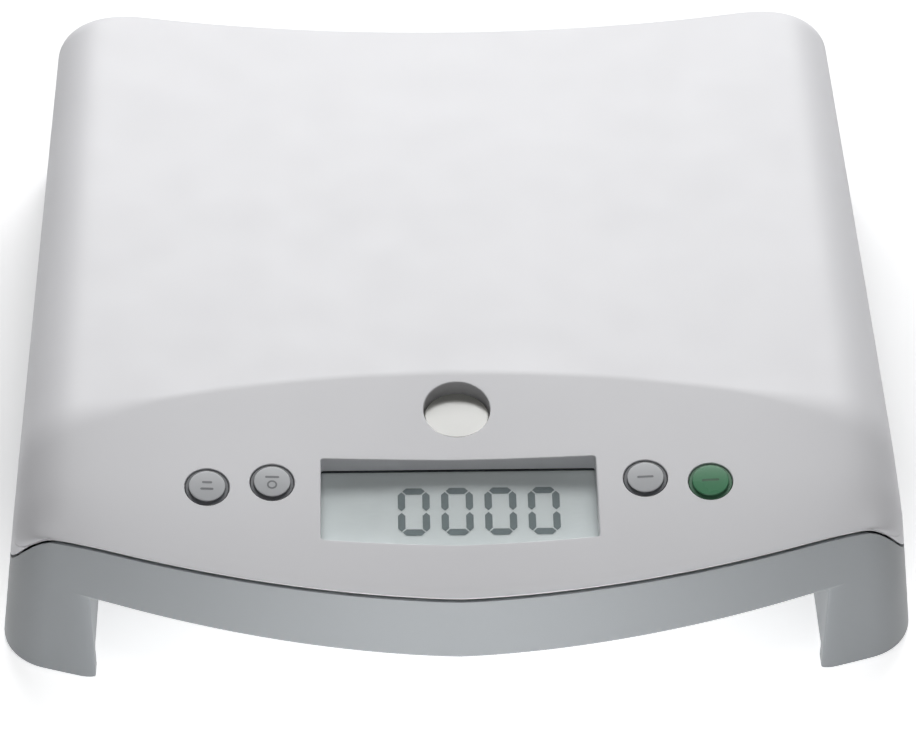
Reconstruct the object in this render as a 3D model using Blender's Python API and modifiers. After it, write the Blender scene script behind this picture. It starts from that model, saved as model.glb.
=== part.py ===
"""Baby scale base: a saddle-topped electronic scale on four legs, with its tray taken off.

Metres, +Z up, +Y towards the back, origin under the middle of the base at floor level.
"""

import math

import bmesh
import bpy
from mathutils import Matrix, Vector

# Plan of the shells at floor level
FOOT_WIDTH = 0.330
FRONT_APEX = 0.1612
BACK_FACE = 0.1593
FRONT_RADIUS = 0.482
FRONT_CORNER = 0.022
BACK_CORNER = 0.014
SIDE_DRAFT_SHARE = 0.133
FRONT_DRAFT_SHARE = 0.078
BACK_DRAFT_SHARE = 0.100

# Saddle and sloping panel
PROFILE_INSET = 0.0150
PROFILE_SPAN = FOOT_WIDTH / 2 - PROFILE_INSET
MID_BACK = 0.0702
MID_FRONT = 0.0747
RISE_BACK = 0.0143
RISE_FRONT = 0.0043
CREASE_Y = 0.0617
CREASE_BOW = 0.0290
CREASE_ROUND = 0.0015
CREASE_FADE = 0.0065
FADE_LENGTH = 0.0500
FADE_START = PROFILE_SPAN - FADE_LENGTH
SHOULDER_SPAN = 0.0226
SHOULDER_DROP = 0.0200
CORNER_SPAN = 0.0040
CORNER_DROP = 0.0001
CORNER_POWER_SHARE = 1.5

# Seam between the shells
SEAM_MID = 0.0541
SEAM_RISE = 0.0118
SEAM_POWER_SHARE = 1.23
SEAM_BEND_LENGTH = 0.0300
SEAM_BEND_START = PROFILE_SPAN - SEAM_BEND_LENGTH
SEAM_BEND_SHARE = 3.5
SEAM_SIDE = 0.0395
SEAM_GROOVE = 0.0014
FRONT_LIP = 0.0004
EDGE_ROLL = 0.0012
BACK_ROLL = 0.0030
TONGUE_WALL = 0.0016
TONGUE_RISE = 0.0016
TONGUE_GAP = 0.0010
SKIRT_LIP = 0.0009

# Walls and clearances
TOP_WALL = 0.0024
CLEAR = 0.0003
OVERRUN = 0.0060
EMBED = 0.0012

# Lower shell
LEG_BOTTOM = 0.0020
LEG_FLOOR = 0.0030
FLOOR_UNDER = 0.0430
FLOOR_WALL = 0.0025
SKIRT_MID = 0.0270
SKIRT_FALL = 0.0038
LEG_WIDTH = 0.0347
NOTCH_HALF = FOOT_WIDTH / 2 - LEG_WIDTH
NOTCH_FLARE = 0.0080
NOTCH_DEPTH = 0.0020
NOTCH_CORNER = 0.0015
SKIRT_ROUND = 0.0020
LEG_STEP = 0.0010
LIP_WALL = 0.0045
FRONT_LEG_END = 0.0850
BACK_LEG_END = 0.1000
ARCH_TOP = 0.0290
ARCH_ROUND = 0.0080
BACK_ARCH_HALF = NOTCH_HALF
RIB_DEPTH = 0.0055
RIB_WALL = 0.0015

# Display
LCD_HALF = 0.0488
LCD_BACK = 0.1003
LCD_FRONT = 0.1342
LCD_BOW = 0.0013
LCD_CORNER = 0.0010
WELL_DEPTH = 0.0041
WELL_WALL = 0.0018
WINDOW_THICK = 0.0012
WINDOW_LAP = 0.0016
GLASS_THICK = 0.0018
GLASS_LAP = 0.0008
HOLDER_WALL = 0.0022
STRIP_THICK = 0.0008
STRIP_WIDTH = 0.0022
BOARD_THICK = 0.0012
BOARD_HALF = 0.1140
BOARD_BACK = 0.0960
BOARD_FRONT = 0.1360
BOARD_SCREW_SIDE = 0.0060
BOARD_SCREW_X = BOARD_HALF - BOARD_SCREW_SIDE
BOARD_SCREW_INSET = 0.0050
BOARD_SCREW_RADIUS = 0.0011
BOARD_BOSS_RADIUS = 0.0030
CHIP_SIZE = 0.0100
CHIP_THICK = 0.0016

# Keys
KEY_OUTER_X = 0.0887
KEY_INNER_X = 0.0659
KEY_OUTER_Y = 0.1138
KEY_INNER_Y = 0.1110
KEY_RADIUS = 0.0076
KEY_PROUD = 0.0012
KEY_CROWN = 0.0004
KEY_CROWN_SHARE = 0.75
KEY_FLANGE = 0.0014
KEY_FLANGE_THICK = 0.0010
KEY_STEM_RADIUS = 0.0026
KEY_TRAVEL = 0.0008
DOME_RADIUS = 0.0050
DOME_TOP_RADIUS = 0.0024
DOME_HEIGHT = 0.0030

# Tray release
RELEASE_Y = 0.0781
RELEASE_RADIUS = 0.0117
RELEASE_TOP = 0.0686
RELEASE_DISC = 0.0030
RELEASE_SKIRT = 0.0014
RELEASE_FLANGE = 0.0018
RELEASE_FLANGE_THICK = 0.0020
RELEASE_STEM_RADIUS = 0.0030
RELEASE_STEM_END = 0.0525
RELEASE_TRAVEL = 0.0030
GUIDE_TUBE_WALL = 0.0018
GUIDE_TOP = 0.0560
GUIDE_FLANGE_RADIUS = 0.0105
GUIDE_FLANGE_THICK = 0.0020
SPRING_RADIUS = 0.0072
SPRING_WIRE = 0.0005
SPRING_TURNS = 5

# Load cells and feet
FOOT_INSET = 0.0205
FOOT_X = FOOT_WIDTH / 2 - FOOT_INSET
FRONT_FOOT_Y = 0.1150
BACK_FOOT_Y = 0.1350
FOOT_PAD_RADIUS = 0.0100
FOOT_PAD_THICK = 0.0040
FOOT_PAD_EDGE = 0.0010
FOOT_GAP = 0.0008
POST_RADIUS = 0.0060
POST_COLLAR = 0.0024
POST_COLLAR_RADIUS = 0.0085
POCKET_HALF = 0.0110
POCKET_ROUND = 0.0100
POCKET_FRONT = 0.0100
POCKET_LENGTH = 0.0395
BEAM_SIZE = 0.0110
BEAM_LENGTH = 0.0660
BEAM_OVERHANG = 0.0055
BEAM_LIFT = 0.0017
BEAM_BORE = 0.0034
BEAM_BORE_PITCH = 0.0100
BEAM_SLOT = 0.0016
BEAM_SCREW_RADIUS = 0.0017
BEAM_SCREW_BACK = 0.0080

# Batteries and their door
CELL_RADIUS = 0.00725
CELL_LENGTH = 0.0492
CELL_NUB_RADIUS = 0.0026
CELL_NUB = 0.0010
CELL_PITCH = 0.0150
CELL_COUNT = 6
CELL_CLEAR = 0.0007
BAY_Y = 0.0350
BAY_END = 0.0054
BAY_LENGTH = CELL_LENGTH + 2 * BAY_END
BAY_WALL = 0.0022
CONTACT_THICK = 0.0006
CONTACT_HEIGHT = 0.0090
CONTACT_SPRING_RADIUS = 0.0030
DOOR_THICK = 0.0022
DOOR_LAP = 0.0030
PIN_RADIUS = 0.0009
PIN_LENGTH = 0.0022
EAR_WALL = 0.0026
EAR_HALF = 0.0030
TAB_WIDTH = 0.0120
TAB_THICK = 0.0014
TAB_HEIGHT = 0.0030

# Shell screws
SHELL_SCREW_INSET = 0.0530
SHELL_SCREW_X = FOOT_WIDTH / 2 - SHELL_SCREW_INSET
SHELL_SCREW_FRONT = 0.0600
SHELL_SCREW_MID = 0.0450
SHELL_SCREW_BACK = 0.1380
SHELL_SCREW_RADIUS = 0.0015
SHELL_SCREW_LENGTH = 0.0120
SHELL_BOSS_RADIUS = 0.0040
SCREW_HEAD_SHARE = 2.0
SCREW_HEAD_THICK_SHARE = 1.3

# Facets
ROUND_STEPS = 24
SMALL_STEPS = 12
FLAT_SHARES = (0.0, 0.16, 0.31, 0.45, 0.58, 0.71, 0.83, 0.93, 1.0)
ROLL_SHARES = (0.22, 0.44, 0.64, 0.83, 1.0)
ROLL_REACH_SHARE = 0.922
CORNER_SHARES = (0.0, 0.17, 0.34, 0.50, 0.66, 0.80, 0.92)
PANEL_SIDE_SHARES = (0.25041558, 0.52169912)
CREASE_SHARES = (1.0, 0.5, 0.0, -0.5, -1.0)
SADDLE_SHARES = (0.14, 0.28, 0.42, 0.56, 0.70, 0.84)
BACK_CORNER_SHARES = (0.0, 0.25, 0.5, 0.75)

FLOOR_TOP = FLOOR_UNDER + FLOOR_WALL
DISPLAY_STACK = WELL_DEPTH + CLEAR + WINDOW_THICK + CLEAR + GLASS_THICK + CLEAR + STRIP_THICK + CLEAR

PARTS = "baby_scale"
CUTTERS = "cutters"


def clear_scene():
    for obj in list(bpy.data.objects):
        bpy.data.objects.remove(obj, do_unlink=True)


def collection(name):
    found = bpy.data.collections.get(name)
    if found is None:
        found = bpy.data.collections.new(name)
        bpy.context.scene.collection.children.link(found)
    return found


def material(name, colour, roughness, metallic=0.0):
    made = bpy.data.materials.new(name)
    made.use_nodes = True
    shader = made.node_tree.nodes["Principled BSDF"]
    shader.inputs["Base Color"].default_value = (*colour, 1.0)
    shader.inputs["Roughness"].default_value = roughness
    shader.inputs["Metallic"].default_value = metallic
    made.diffuse_color = (*colour, 1.0)
    return made


def smooth(share):
    """Eases a share from 0 to 1 with level ends."""
    share = min(max(share, 0.0), 1.0)
    return share * share * (3.0 - 2.0 * share)


def mix(a, b, share):
    return a + (b - a) * share


# Plan outline, at a height and a distance inside the outer wall

def half_width(z):
    return FOOT_WIDTH / 2 - SIDE_DRAFT_SHARE * z


def front_centre(z):
    return FRONT_RADIUS - FRONT_APEX + FRONT_DRAFT_SHARE * z


def front_corner(z):
    """Centre of the front corner's arc, and the angle that the arc turns through."""
    x = half_width(z) - FRONT_CORNER
    reach = FRONT_RADIUS - FRONT_CORNER
    return x, front_centre(z) - math.sqrt(reach * reach - x * x), math.acos(x / reach)


def back_corner(z):
    return half_width(z) - BACK_CORNER, BACK_FACE - BACK_DRAFT_SHARE * z - BACK_CORNER


def front_y(x, z, inset=0.0):
    radius = FRONT_RADIUS - inset
    return front_centre(z) - math.sqrt(radius * radius - x * x)


def outline_point(station, z, inset):
    """A point of the right half of the plan: station is (kind, share), from the front to the back."""
    kind, share = station
    if kind == "front":
        turn = front_corner(z)[2]
        x = share * (FRONT_RADIUS - inset) * math.cos(turn)
        return x, front_y(x, z, inset)
    if kind == "corner":
        x, y, turn = front_corner(z)
        radius = FRONT_CORNER - inset
        return x + radius * math.cos(share * turn), y - radius * math.sin(share * turn)
    if kind == "side":
        low = front_corner(z)[1]
        high = back_corner(z)[1]
        return half_width(z) - inset, mix(low, high, share)
    x, y = back_corner(z)
    radius = BACK_CORNER - inset
    if kind == "back_corner":
        turn = share * math.pi / 2
        return x + radius * math.cos(turn), y + radius * math.sin(turn)
    return share * x, y + radius


# Height of the top surface

def crease_y(x):
    return -CREASE_Y - CREASE_BOW * (x / PROFILE_SPAN) ** 2


def seam_front(x):
    bend = SEAM_BEND_SHARE * max(0.0, abs(x) - SEAM_BEND_START) ** 2
    return SEAM_MID + SEAM_RISE * (abs(x) / PROFILE_SPAN) ** SEAM_POWER_SHARE - bend


def panel_edge(x):
    """Where the panel meets the rolled front edge: y and z."""
    z = seam_front(x) + SEAM_GROOVE / 2 + FRONT_LIP + EDGE_ROLL
    return front_y(x, z, EDGE_ROLL), z


def saddle(x, y):
    share = (y + CREASE_Y) / (BACK_FACE + CREASE_Y)
    return mix(MID_FRONT, MID_BACK, share) + mix(RISE_FRONT, RISE_BACK, share) * (x / PROFILE_SPAN) ** 2


def crease_round(x):
    return CREASE_ROUND + CREASE_FADE * smooth((abs(x) - FADE_START) / (PROFILE_SPAN - FADE_START))


def top_height(x, y):
    """Saddle behind the crease, panel in front of it, with the crease rounded."""
    crease = crease_y(x)
    ridge = saddle(x, crease)
    edge_y, edge_z = panel_edge(x)
    fall = (ridge - edge_z) / (crease - edge_y)
    rise = (saddle(x, crease + CREASE_Y) - ridge) / CREASE_Y
    ahead = y - crease
    width = crease_round(x)
    if ahead >= width:
        return saddle(x, y)
    if ahead <= -width:
        return ridge + fall * ahead
    return ridge + (fall + rise) / 2 * ahead + (rise - fall) / (4 * width) * (ahead ** 2 + width ** 2)


def shoulder(line):
    """How far in and how far down the shoulder rounds over at the end of a line of the surface."""
    kind, share = line
    ease = smooth(share) ** CORNER_POWER_SHARE if kind == "corner" else float(kind == "front")
    return mix(SHOULDER_SPAN, CORNER_SPAN, ease), mix(SHOULDER_DROP, CORNER_DROP, ease)


def edge_roll(station):
    """Radius of the rolled edge, which is also how far the top surface's rim lies inside the outer wall."""
    kind, share = station
    return {
        "front": EDGE_ROLL,
        "corner": EDGE_ROLL * smooth(share),
        "side": 0.0,
        "back_corner": BACK_ROLL * smooth(share),
        "back": BACK_ROLL,
    }[kind]


def line_share(line, x, y):
    """Where a line of the surface runs between the rounded crease and the front or back edge."""
    if line[0] in ("front", "corner", "panel"):
        start = crease_y(x) - crease_round(x)
        return (start - y) / (start - panel_edge(x)[0])
    start = crease_y(x) + crease_round(x)
    return (y - start) / (back_edge() - start)


def back_edge():
    height = saddle(0.0, BACK_FACE)
    return BACK_FACE - BACK_DRAFT_SHARE * height - BACK_ROLL


def line_y(line, share, x):
    if line[0] == "crease":
        return crease_y(x) - line[1] * crease_round(x)
    if line[0] in ("front", "corner", "panel"):
        return mix(crease_y(x) - crease_round(x), panel_edge(x)[0], share)
    return mix(crease_y(x) + crease_round(x), back_edge(), share)


def surface_lines():
    """Lines across the top surface, from the front edge to the back edge."""
    lines = [("front", 1.0)]
    lines += [("corner", share) for share in reversed(CORNER_SHARES)]
    lines += [("panel", share) for share in reversed(PANEL_SIDE_SHARES)]
    lines += [("crease", share) for share in CREASE_SHARES]
    lines += [("saddle", share) for share in SADDLE_SHARES]
    lines += [("back_corner", share) for share in BACK_CORNER_SHARES]
    return lines + [("back", 1.0)]


def corner_run():
    """Where the line to the straight side's front end runs between the crease and the front edge."""
    line = ("corner", 0.0)
    end = surface_line(line)[-1]
    return line_share(line, end.x, end.y)


def surface_line(line):
    """Right-hand half of one line, from the middle to the rim, and the station of its end."""
    kind, share = line
    span, drop = shoulder(line)
    reach = ROLL_REACH_SHARE * math.pi / 2
    rim = drop * (1 - math.cos(reach))
    z = SEAM_SIDE
    for _ in range(4):
        if kind in ("front", "corner", "back_corner", "back"):
            end = outline_point(line, z, edge_roll(line))
            run = line_share(line, *end)
        else:
            width = half_width(z)
            run = share * corner_run() if kind == "panel" else share
            end = (width, line_y(line, run, width))
        z = top_height(*end) - rim
    start = end[0] - span * math.sin(reach)
    points = [(start * part, 0.0) for part in FLAT_SHARES]
    for part in ROLL_SHARES:
        points.append((start + span * math.sin(reach * part), drop * (1 - math.cos(reach * part))))
    made = []
    for x, fall in points:
        y = line_y(line, run, x)
        made.append(Vector((x, y, top_height(x, y) - fall)))
    made[-1].xy = end
    made[-1].z = z
    return made


def side_station(end):
    """Station of a line's end on the straight side."""
    low = front_corner(end.z)[1]
    high = back_corner(end.z)[1]
    return "side", (end.y - low) / (high - low)


def rim_stations():
    """Stations round the right half of the rim, front to back, each with the rim's height and its lean."""
    lines = surface_lines()
    first = surface_line(lines[0])
    last = surface_line(lines[-1])
    found = [(("front", p.x / first[-1].x), p.z, 0.0) for p in first]
    for line in lines[1:-1]:
        end = surface_line(line)[-1]
        if line[0] == "corner":
            found.append((line, end.z, 0.0))
        elif line[0] == "back_corner":
            found.append((line, end.z, smooth(line[1]) * ROLL_REACH_SHARE * math.pi / 2))
        else:
            found.append((side_station(end), end.z, 0.0))
    leans = [0.0] * len(FLAT_SHARES) + [part * ROLL_REACH_SHARE * math.pi / 2 for part in ROLL_SHARES]
    back = [(("back", p.x / last[-1].x), p.z, lean) for p, lean in zip(last, leans)]
    return found + back[::-1]


def roll_point(station, rim, lean, turn):
    """A point of the rolled edge below the rim: turn runs from 0 at the rim to a right angle at the wall."""
    roll = edge_roll(station)
    fall = max(roll, EDGE_ROLL) * (1 - math.cos(turn))
    z = rim - fall * math.cos(lean)
    x, y = outline_point(station, z, roll * (1 - math.sin(turn)))
    if station[0] == "back":
        x -= fall * math.sin(lean)
    return Vector((x, y, z))


def seam_height(station, rim):
    """Height of the seam under a station of the rim."""
    kind, share = station
    if kind == "front":
        return rim - SEAM_GROOVE / 2 - FRONT_LIP - EDGE_ROLL
    if kind == "corner":
        width = outline_point(("front", 1.0), SEAM_MID, 0.0)[0]
        return mix(SEAM_SIDE, seam_front(width), smooth(share))
    return SEAM_SIDE


def loop(height, inset):
    """Closed loop round the plan; the height is a value or a function of the seam's and the rim's heights."""
    half = []
    stations = rim_stations()
    for i, (station, rim, _) in enumerate(stations):
        seam = seam_height(station, rim)
        lowest = min(near[1] for near in stations[max(i - 1, 0):i + 2])
        z = height(seam, lowest) if callable(height) else height
        half.append(Vector((*outline_point(station, z, inset), z)))
    return half + [Vector((-p.x, p.y, p.z)) for p in reversed(half[1:-1])]


# Mesh helpers

def mesh_object(name, bm, group=PARTS, look=None):
    bmesh.ops.recalc_face_normals(bm, faces=bm.faces)
    data = bpy.data.meshes.new(name)
    bm.to_mesh(data)
    bm.free()
    made = bpy.data.objects.new(name, data)
    collection(group).objects.link(made)
    if group == CUTTERS:
        made.hide_render = True
        made.display_type = "WIRE"
    elif look is not None:
        data.materials.append(look)
    return made


def bridge(bm, lower, upper):
    count = len(lower)
    for i in range(count):
        bm.faces.new((lower[i], lower[(i + 1) % count], upper[(i + 1) % count], upper[i]))


def loft(name, loops, group=PARTS, look=None, closed=False):
    """Skins a list of loops of points; the ends are capped, or joined to each other if closed."""
    bm = bmesh.new()
    rings = [[bm.verts.new(point) for point in ring] for ring in loops]
    for lower, upper in zip(rings, rings[1:]):
        bridge(bm, lower, upper)
    if closed:
        bridge(bm, rings[-1], rings[0])
    else:
        bm.faces.new(rings[0])
        bm.faces.new(rings[-1])
    return mesh_object(name, bm, group, look)


def prism(name, outline, low, high, group=PARTS, look=None):
    """Upright prism on an outline of (x, y) points."""
    return loft(name, [[(x, y, z) for x, y in outline] for z in (low, high)], group, look)


def box(name, low, high, group=PARTS, look=None, matrix=None):
    bm = bmesh.new()
    bmesh.ops.create_cube(bm, size=1.0)
    size = Vector(high) - Vector(low)
    middle = (Vector(high) + Vector(low)) / 2
    bmesh.ops.transform(bm, matrix=Matrix.Translation(middle) @ Matrix.Diagonal((*size, 1.0)), verts=bm.verts)
    made = mesh_object(name, bm, group, look)
    if matrix is not None:
        made.matrix_world = matrix
    return made


def cylinder(
    name, radius, low, high, group=PARTS, look=None, matrix=None, steps=SMALL_STEPS, centre=(0.0, 0.0)
):
    bm = bmesh.new()
    bmesh.ops.create_cone(
        bm, cap_ends=True, segments=steps, radius1=radius, radius2=radius, depth=high - low
    )
    bmesh.ops.translate(bm, vec=(*centre, (low + high) / 2), verts=bm.verts)
    made = mesh_object(name, bm, group, look)
    if matrix is not None:
        made.matrix_world = matrix
    return made


def turned(name, profile, look, matrix=None, steps=ROUND_STEPS, group=PARTS):
    """Turns a profile of (radius, height) points, listed down the outer side, about Z."""
    data = bpy.data.meshes.new(name)
    data.from_pydata([(r, 0.0, z) for r, z in profile], [(i, i + 1) for i in range(len(profile) - 1)], [])
    data.materials.append(look)
    made = bpy.data.objects.new(name, data)
    collection(group).objects.link(made)
    screw = made.modifiers.new("turn", "SCREW")
    screw.angle = 2 * math.pi
    screw.steps = steps
    screw.render_steps = steps
    screw.use_merge_vertices = True
    screw.merge_threshold = 0.00001
    if matrix is not None:
        made.matrix_world = matrix
    return made


def rounded_rectangle(half_x, half_y, radius, centre=(0.0, 0.0), steps=5):
    points = []
    for turn, (sx, sy) in enumerate(((1, -1), (1, 1), (-1, 1), (-1, -1))):
        for step in range(steps + 1):
            angle = (turn - 1 + step / steps) * math.pi / 2
            points.append((
                centre[0] + sx * (half_x - radius) + radius * math.cos(angle),
                centre[1] + sy * (half_y - radius) + radius * math.sin(angle),
            ))
    return points


def joined(name, pieces, group=CUTTERS):
    """One object out of several closed pieces."""
    bm = bmesh.new()
    for piece in pieces:
        data = piece.data.copy()
        data.transform(piece.matrix_world)
        bm.from_mesh(data)
        bpy.data.meshes.remove(data)
        bpy.data.objects.remove(piece, do_unlink=True)
    return mesh_object(name, bm, group)


def boolean(obj, other, operation):
    modifier = obj.modifiers.new(operation.lower() + "_" + other.name, "BOOLEAN")
    modifier.operation = operation
    modifier.solver = "EXACT"
    modifier.object = other


def cut(obj, *cutters):
    for cutter in cutters:
        boolean(obj, cutter, "DIFFERENCE")


def add(obj, *pieces):
    for piece in pieces:
        boolean(obj, piece, "UNION")


# Frames on the sloping panel

def panel_slope():
    """Fall of the panel along its middle."""
    edge_y, edge_z = panel_edge(0.0)
    return (saddle(0.0, crease_y(0.0)) - edge_z) / (crease_y(0.0) - edge_y)


def panel_frame(x, y, depth):
    """Frame in a plane parallel to the panel's middle line, at a depth under it; Z is the plane's normal."""
    tilt = math.atan(panel_slope())
    point = Vector((x, y, top_height(0.0, y) - depth / math.cos(tilt)))
    return Matrix.Translation(point) @ Matrix.Rotation(tilt, 4, "X")


def surface_frame(x, y):
    """Frame on the top surface with Z along its normal."""
    step = CLEAR
    along_x = (top_height(x + step, y) - top_height(x - step, y)) / (2 * step)
    along_y = (top_height(x, y + step) - top_height(x, y - step)) / (2 * step)
    normal = Vector((-along_x, -along_y, 1.0)).normalized()
    turn = Vector((0.0, 0.0, 1.0)).rotation_difference(normal)
    return Matrix.Translation((x, y, top_height(x, y))) @ turn.to_matrix().to_4x4()


def key_places():
    return {
        "unit_key": (-KEY_OUTER_X, -KEY_OUTER_Y),
        "tare_key": (-KEY_INNER_X, -KEY_INNER_Y),
        "hold_key": (KEY_INNER_X, -KEY_INNER_Y),
        "start_key": (KEY_OUTER_X, -KEY_OUTER_Y),
    }


def board_depth_along(frame):
    """Distance from a surface frame down its normal to the top of the board."""
    plane = panel_frame(0.0, frame.translation.y, DISPLAY_STACK)
    normal = plane.col[2].xyz
    axis = frame.col[2].xyz
    return (frame.translation - plane.translation).dot(normal) / axis.dot(normal)


def shell_screw_places():
    rows = (-SHELL_SCREW_FRONT, SHELL_SCREW_MID, SHELL_SCREW_BACK)
    return [(side * SHELL_SCREW_X, y) for y in rows for side in (-1, 1)]


def board_screw_places():
    rows = (-BOARD_BACK - BOARD_SCREW_INSET, -BOARD_FRONT + BOARD_SCREW_INSET)
    return [(side * BOARD_SCREW_X, y) for y in rows for side in (-1, 1)]


def foot_places():
    """Corner name, foot centre, and which way the beam runs from the foot."""
    return [
        (f"{row}_{hand}", side * FOOT_X, y, run)
        for row, y, run in (("front", -FRONT_FOOT_Y, 1), ("back", BACK_FOOT_Y, -1))
        for hand, side in (("left", -1), ("right", 1))
    ]


# Top shell

def top_surface():
    """Open surface of the saddle, shoulders and panel, with the rolled edge and the wall down to the seam."""
    bm = bmesh.new()
    rows = []
    for line in surface_lines():
        half = surface_line(line)
        points = [Vector((-p.x, p.y, p.z)) for p in reversed(half[1:])] + half
        rows.append([bm.verts.new(p) for p in points])
    for lower, upper in zip(rows, rows[1:]):
        for i in range(len(lower) - 1):
            bm.faces.new((lower[i], lower[i + 1], upper[i + 1], upper[i]))
    stations = rim_stations()
    middle = len(rows[0]) // 2
    half = rows[0][middle:] + [row[-1] for row in rows[1:-1]] + list(reversed(rows[-1][middle:]))
    mirrored = rows[-1][:middle][::-1] + [row[0] for row in reversed(rows[1:-1])] + rows[0][:middle]
    ring = half + mirrored
    for level in range(1, 4):
        points = []
        for station, rim, lean in stations:
            if level == 3:
                z = seam_height(station, rim) + SEAM_GROOVE / 2
                points.append(Vector((*outline_point(station, z, 0.0), z)))
            else:
                points.append(roll_point(station, rim, lean, level * math.pi / 4))
        points += [Vector((-p.x, p.y, p.z)) for p in reversed(points[1:-1])]
        below = [bm.verts.new(p) for p in points]
        bridge(bm, below, ring)
        ring = below
    return bm


def well_outline(grow=0.0, steps=10):
    """Outline of the display opening, its near edge bowed."""
    half = LCD_HALF + grow
    front = -LCD_FRONT - grow
    back = -LCD_BACK + grow
    radius = LCD_CORNER + grow
    nip = radius * (1 - math.sin(math.pi / 4))
    points = []
    for step in range(steps + 1):
        x = mix(-half + radius, half - radius, step / steps)
        points.append((x, front - LCD_BOW * (1 - (x / half) ** 2)))
    points += [(half - nip, front + nip), (half, front + radius)]
    points += [(half, back - radius), (half - nip, back - nip)]
    for step in range(steps + 1):
        points.append((mix(half - radius, -half + radius, step / steps), back))
    points += [(-half + nip, back - nip), (-half, back - radius)]
    points += [(-half, front + radius), (-half + nip, front + nip)]
    return points


def well_bottom(y):
    return top_height(0.0, y) - WELL_DEPTH / math.cos(math.atan(panel_slope()))


def top_shell(look):
    shell = mesh_object("top_shell", top_surface(), look=look)
    wall = shell.modifiers.new("wall", "SOLIDIFY")
    wall.thickness = TOP_WALL
    wall.offset = -1.0
    wall.use_even_offset = True
    wall.use_rim = True

    outer = well_outline(WELL_WALL)
    inner = well_outline(-CLEAR / 2)
    well = loft("well", [
        [(x, y, top_height(x, y) - EMBED) for x, y in outer],
        [(x, y, well_bottom(y)) for x, y in outer],
        [(x, y, well_bottom(y)) for x, y in inner],
        [(x, y, top_height(x, y) - EMBED) for x, y in inner],
    ], CUTTERS, closed=True)
    add(shell, well)
    opening = prism("display_opening", well_outline(), FLOOR_TOP, MID_FRONT + OVERRUN, CUTTERS)
    cut(shell, opening)

    bosses = []
    bores = []
    for i, (x, y) in enumerate(shell_screw_places()):
        low = FLOOR_TOP + CLEAR
        high = top_height(x, y) - EMBED
        bosses.append(cylinder(f"boss_{i}", SHELL_BOSS_RADIUS, low, high, CUTTERS, centre=(x, y)))
        reach = FLOOR_UNDER + SHELL_SCREW_LENGTH + OVERRUN
        bore = SHELL_SCREW_RADIUS + CLEAR
        bores.append(cylinder(f"bore_{i}", bore, low - OVERRUN, reach, CUTTERS, centre=(x, y)))
    for i, (x, y) in enumerate(board_screw_places()):
        frame = panel_frame(x, y, DISPLAY_STACK - CLEAR)
        rise = (top_height(frame.translation.x, y) - frame.translation.z) * frame.col[2].z - EMBED
        bosses.append(cylinder(f"board_boss_{i}", BOARD_BOSS_RADIUS, 0.0, rise, CUTTERS, matrix=frame))
        bores.append(cylinder(
            f"board_bore_{i}", BOARD_SCREW_RADIUS + CLEAR, -OVERRUN, rise - TOP_WALL, CUTTERS, matrix=frame
        ))
    bpy.context.view_layer.update()
    add(shell, joined("bosses", bosses))
    holes = bores
    for name, (x, y) in key_places().items():
        holes.append(cylinder(
            f"hole_{name}", KEY_RADIUS + CLEAR, -OVERRUN, OVERRUN, CUTTERS,
            matrix=surface_frame(x, y), steps=ROUND_STEPS,
        ))
    holes.append(cylinder(
        "release_hole", RELEASE_RADIUS + CLEAR, FLOOR_TOP + OVERRUN, MID_FRONT + OVERRUN, CUTTERS,
        steps=ROUND_STEPS, centre=(0.0, -RELEASE_Y),
    ))
    bpy.context.view_layer.update()
    cut(shell, joined("holes", holes))
    return shell


# Bottom shell

def skirt_low(x):
    """Lower edge of the front skirt."""
    return seam_front(x) - SKIRT_MID + SKIRT_FALL * (x / PROFILE_SPAN) ** 2


def notch_section(grow, steps=16):
    """Front notch in x and z: up the right leg, round the corner, to the middle, then mirrored."""
    half = NOTCH_HALF + grow
    lift = grow * SKIRT_ROUND / NOTCH_FLARE
    radius = NOTCH_CORNER
    high = skirt_low(half) + lift
    nip = radius * (1 - math.sin(math.pi / 4))
    side = [(half, -OVERRUN)]
    side += [(half, mix(LEG_BOTTOM, high - radius, part / 3)) for part in range(4)]
    side.append((half - nip, high - nip))
    top = [mix(half - radius, 0.0, step / steps) for step in range(steps + 1)]
    right = side + [(x, skirt_low(x) + lift) for x in top]
    return right + [(-x, z) for x, z in reversed(right[:-1])]


def front_notch():
    """Cutter through the front wall between the legs, flared so that the legs' inner edges are round."""
    flare = [(0.0, NOTCH_FLARE)]
    for step in range(1, 5):
        turn = step / 4 * math.pi / 2
        flare.append((NOTCH_DEPTH * (1 - math.cos(turn)), NOTCH_FLARE * (1 - math.sin(turn))))
    ahead = -FRONT_APEX - OVERRUN
    behind = front_y(NOTCH_HALF, 0.0) + 2 * OVERRUN
    rings = [[(x, ahead, z) for x, z in notch_section(NOTCH_FLARE)]]
    rings += [[(x, front_y(x, z) + depth, z) for x, z in notch_section(grow)] for depth, grow in flare]
    rings.append([(x, behind, z) for x, z in notch_section(0.0)])
    return loft("front_notch", rings, CUTTERS)


def upright_arch(half, top, radius, steps=5):
    """Outline of an arch: legs down past the floor, round top corners."""
    points = [(half, -OVERRUN)]
    for step in range(steps + 1):
        angle = step / steps * math.pi / 2
        points.append((half - radius + radius * math.cos(angle), top - radius + radius * math.sin(angle)))
    return points + [(-x, z) for x, z in reversed(points)]


def under_cavity():
    """Everything between the legs and the lips, up to the floor plate."""
    wide = half_width(FLOOR_UNDER) - LIP_WALL
    narrow = NOTCH_HALF + LEG_STEP
    back = BACK_FACE - BACK_DRAFT_SHARE * FLOOR_UNDER - LIP_WALL
    steps = 12
    front = []
    for step in range(steps + 1):
        x = mix(-narrow, narrow, step / steps)
        front.append((x, front_y(x, FLOOR_UNDER, LIP_WALL)))
    right = [(narrow, -FRONT_LEG_END), (wide, -FRONT_LEG_END), (wide, BACK_LEG_END)]
    right += [(narrow, BACK_LEG_END), (narrow, back)]
    outline = front + right + [(-x, y) for x, y in reversed(right)]
    return prism("under_cavity", outline, -OVERRUN, FLOOR_UNDER, CUTTERS)


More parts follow.
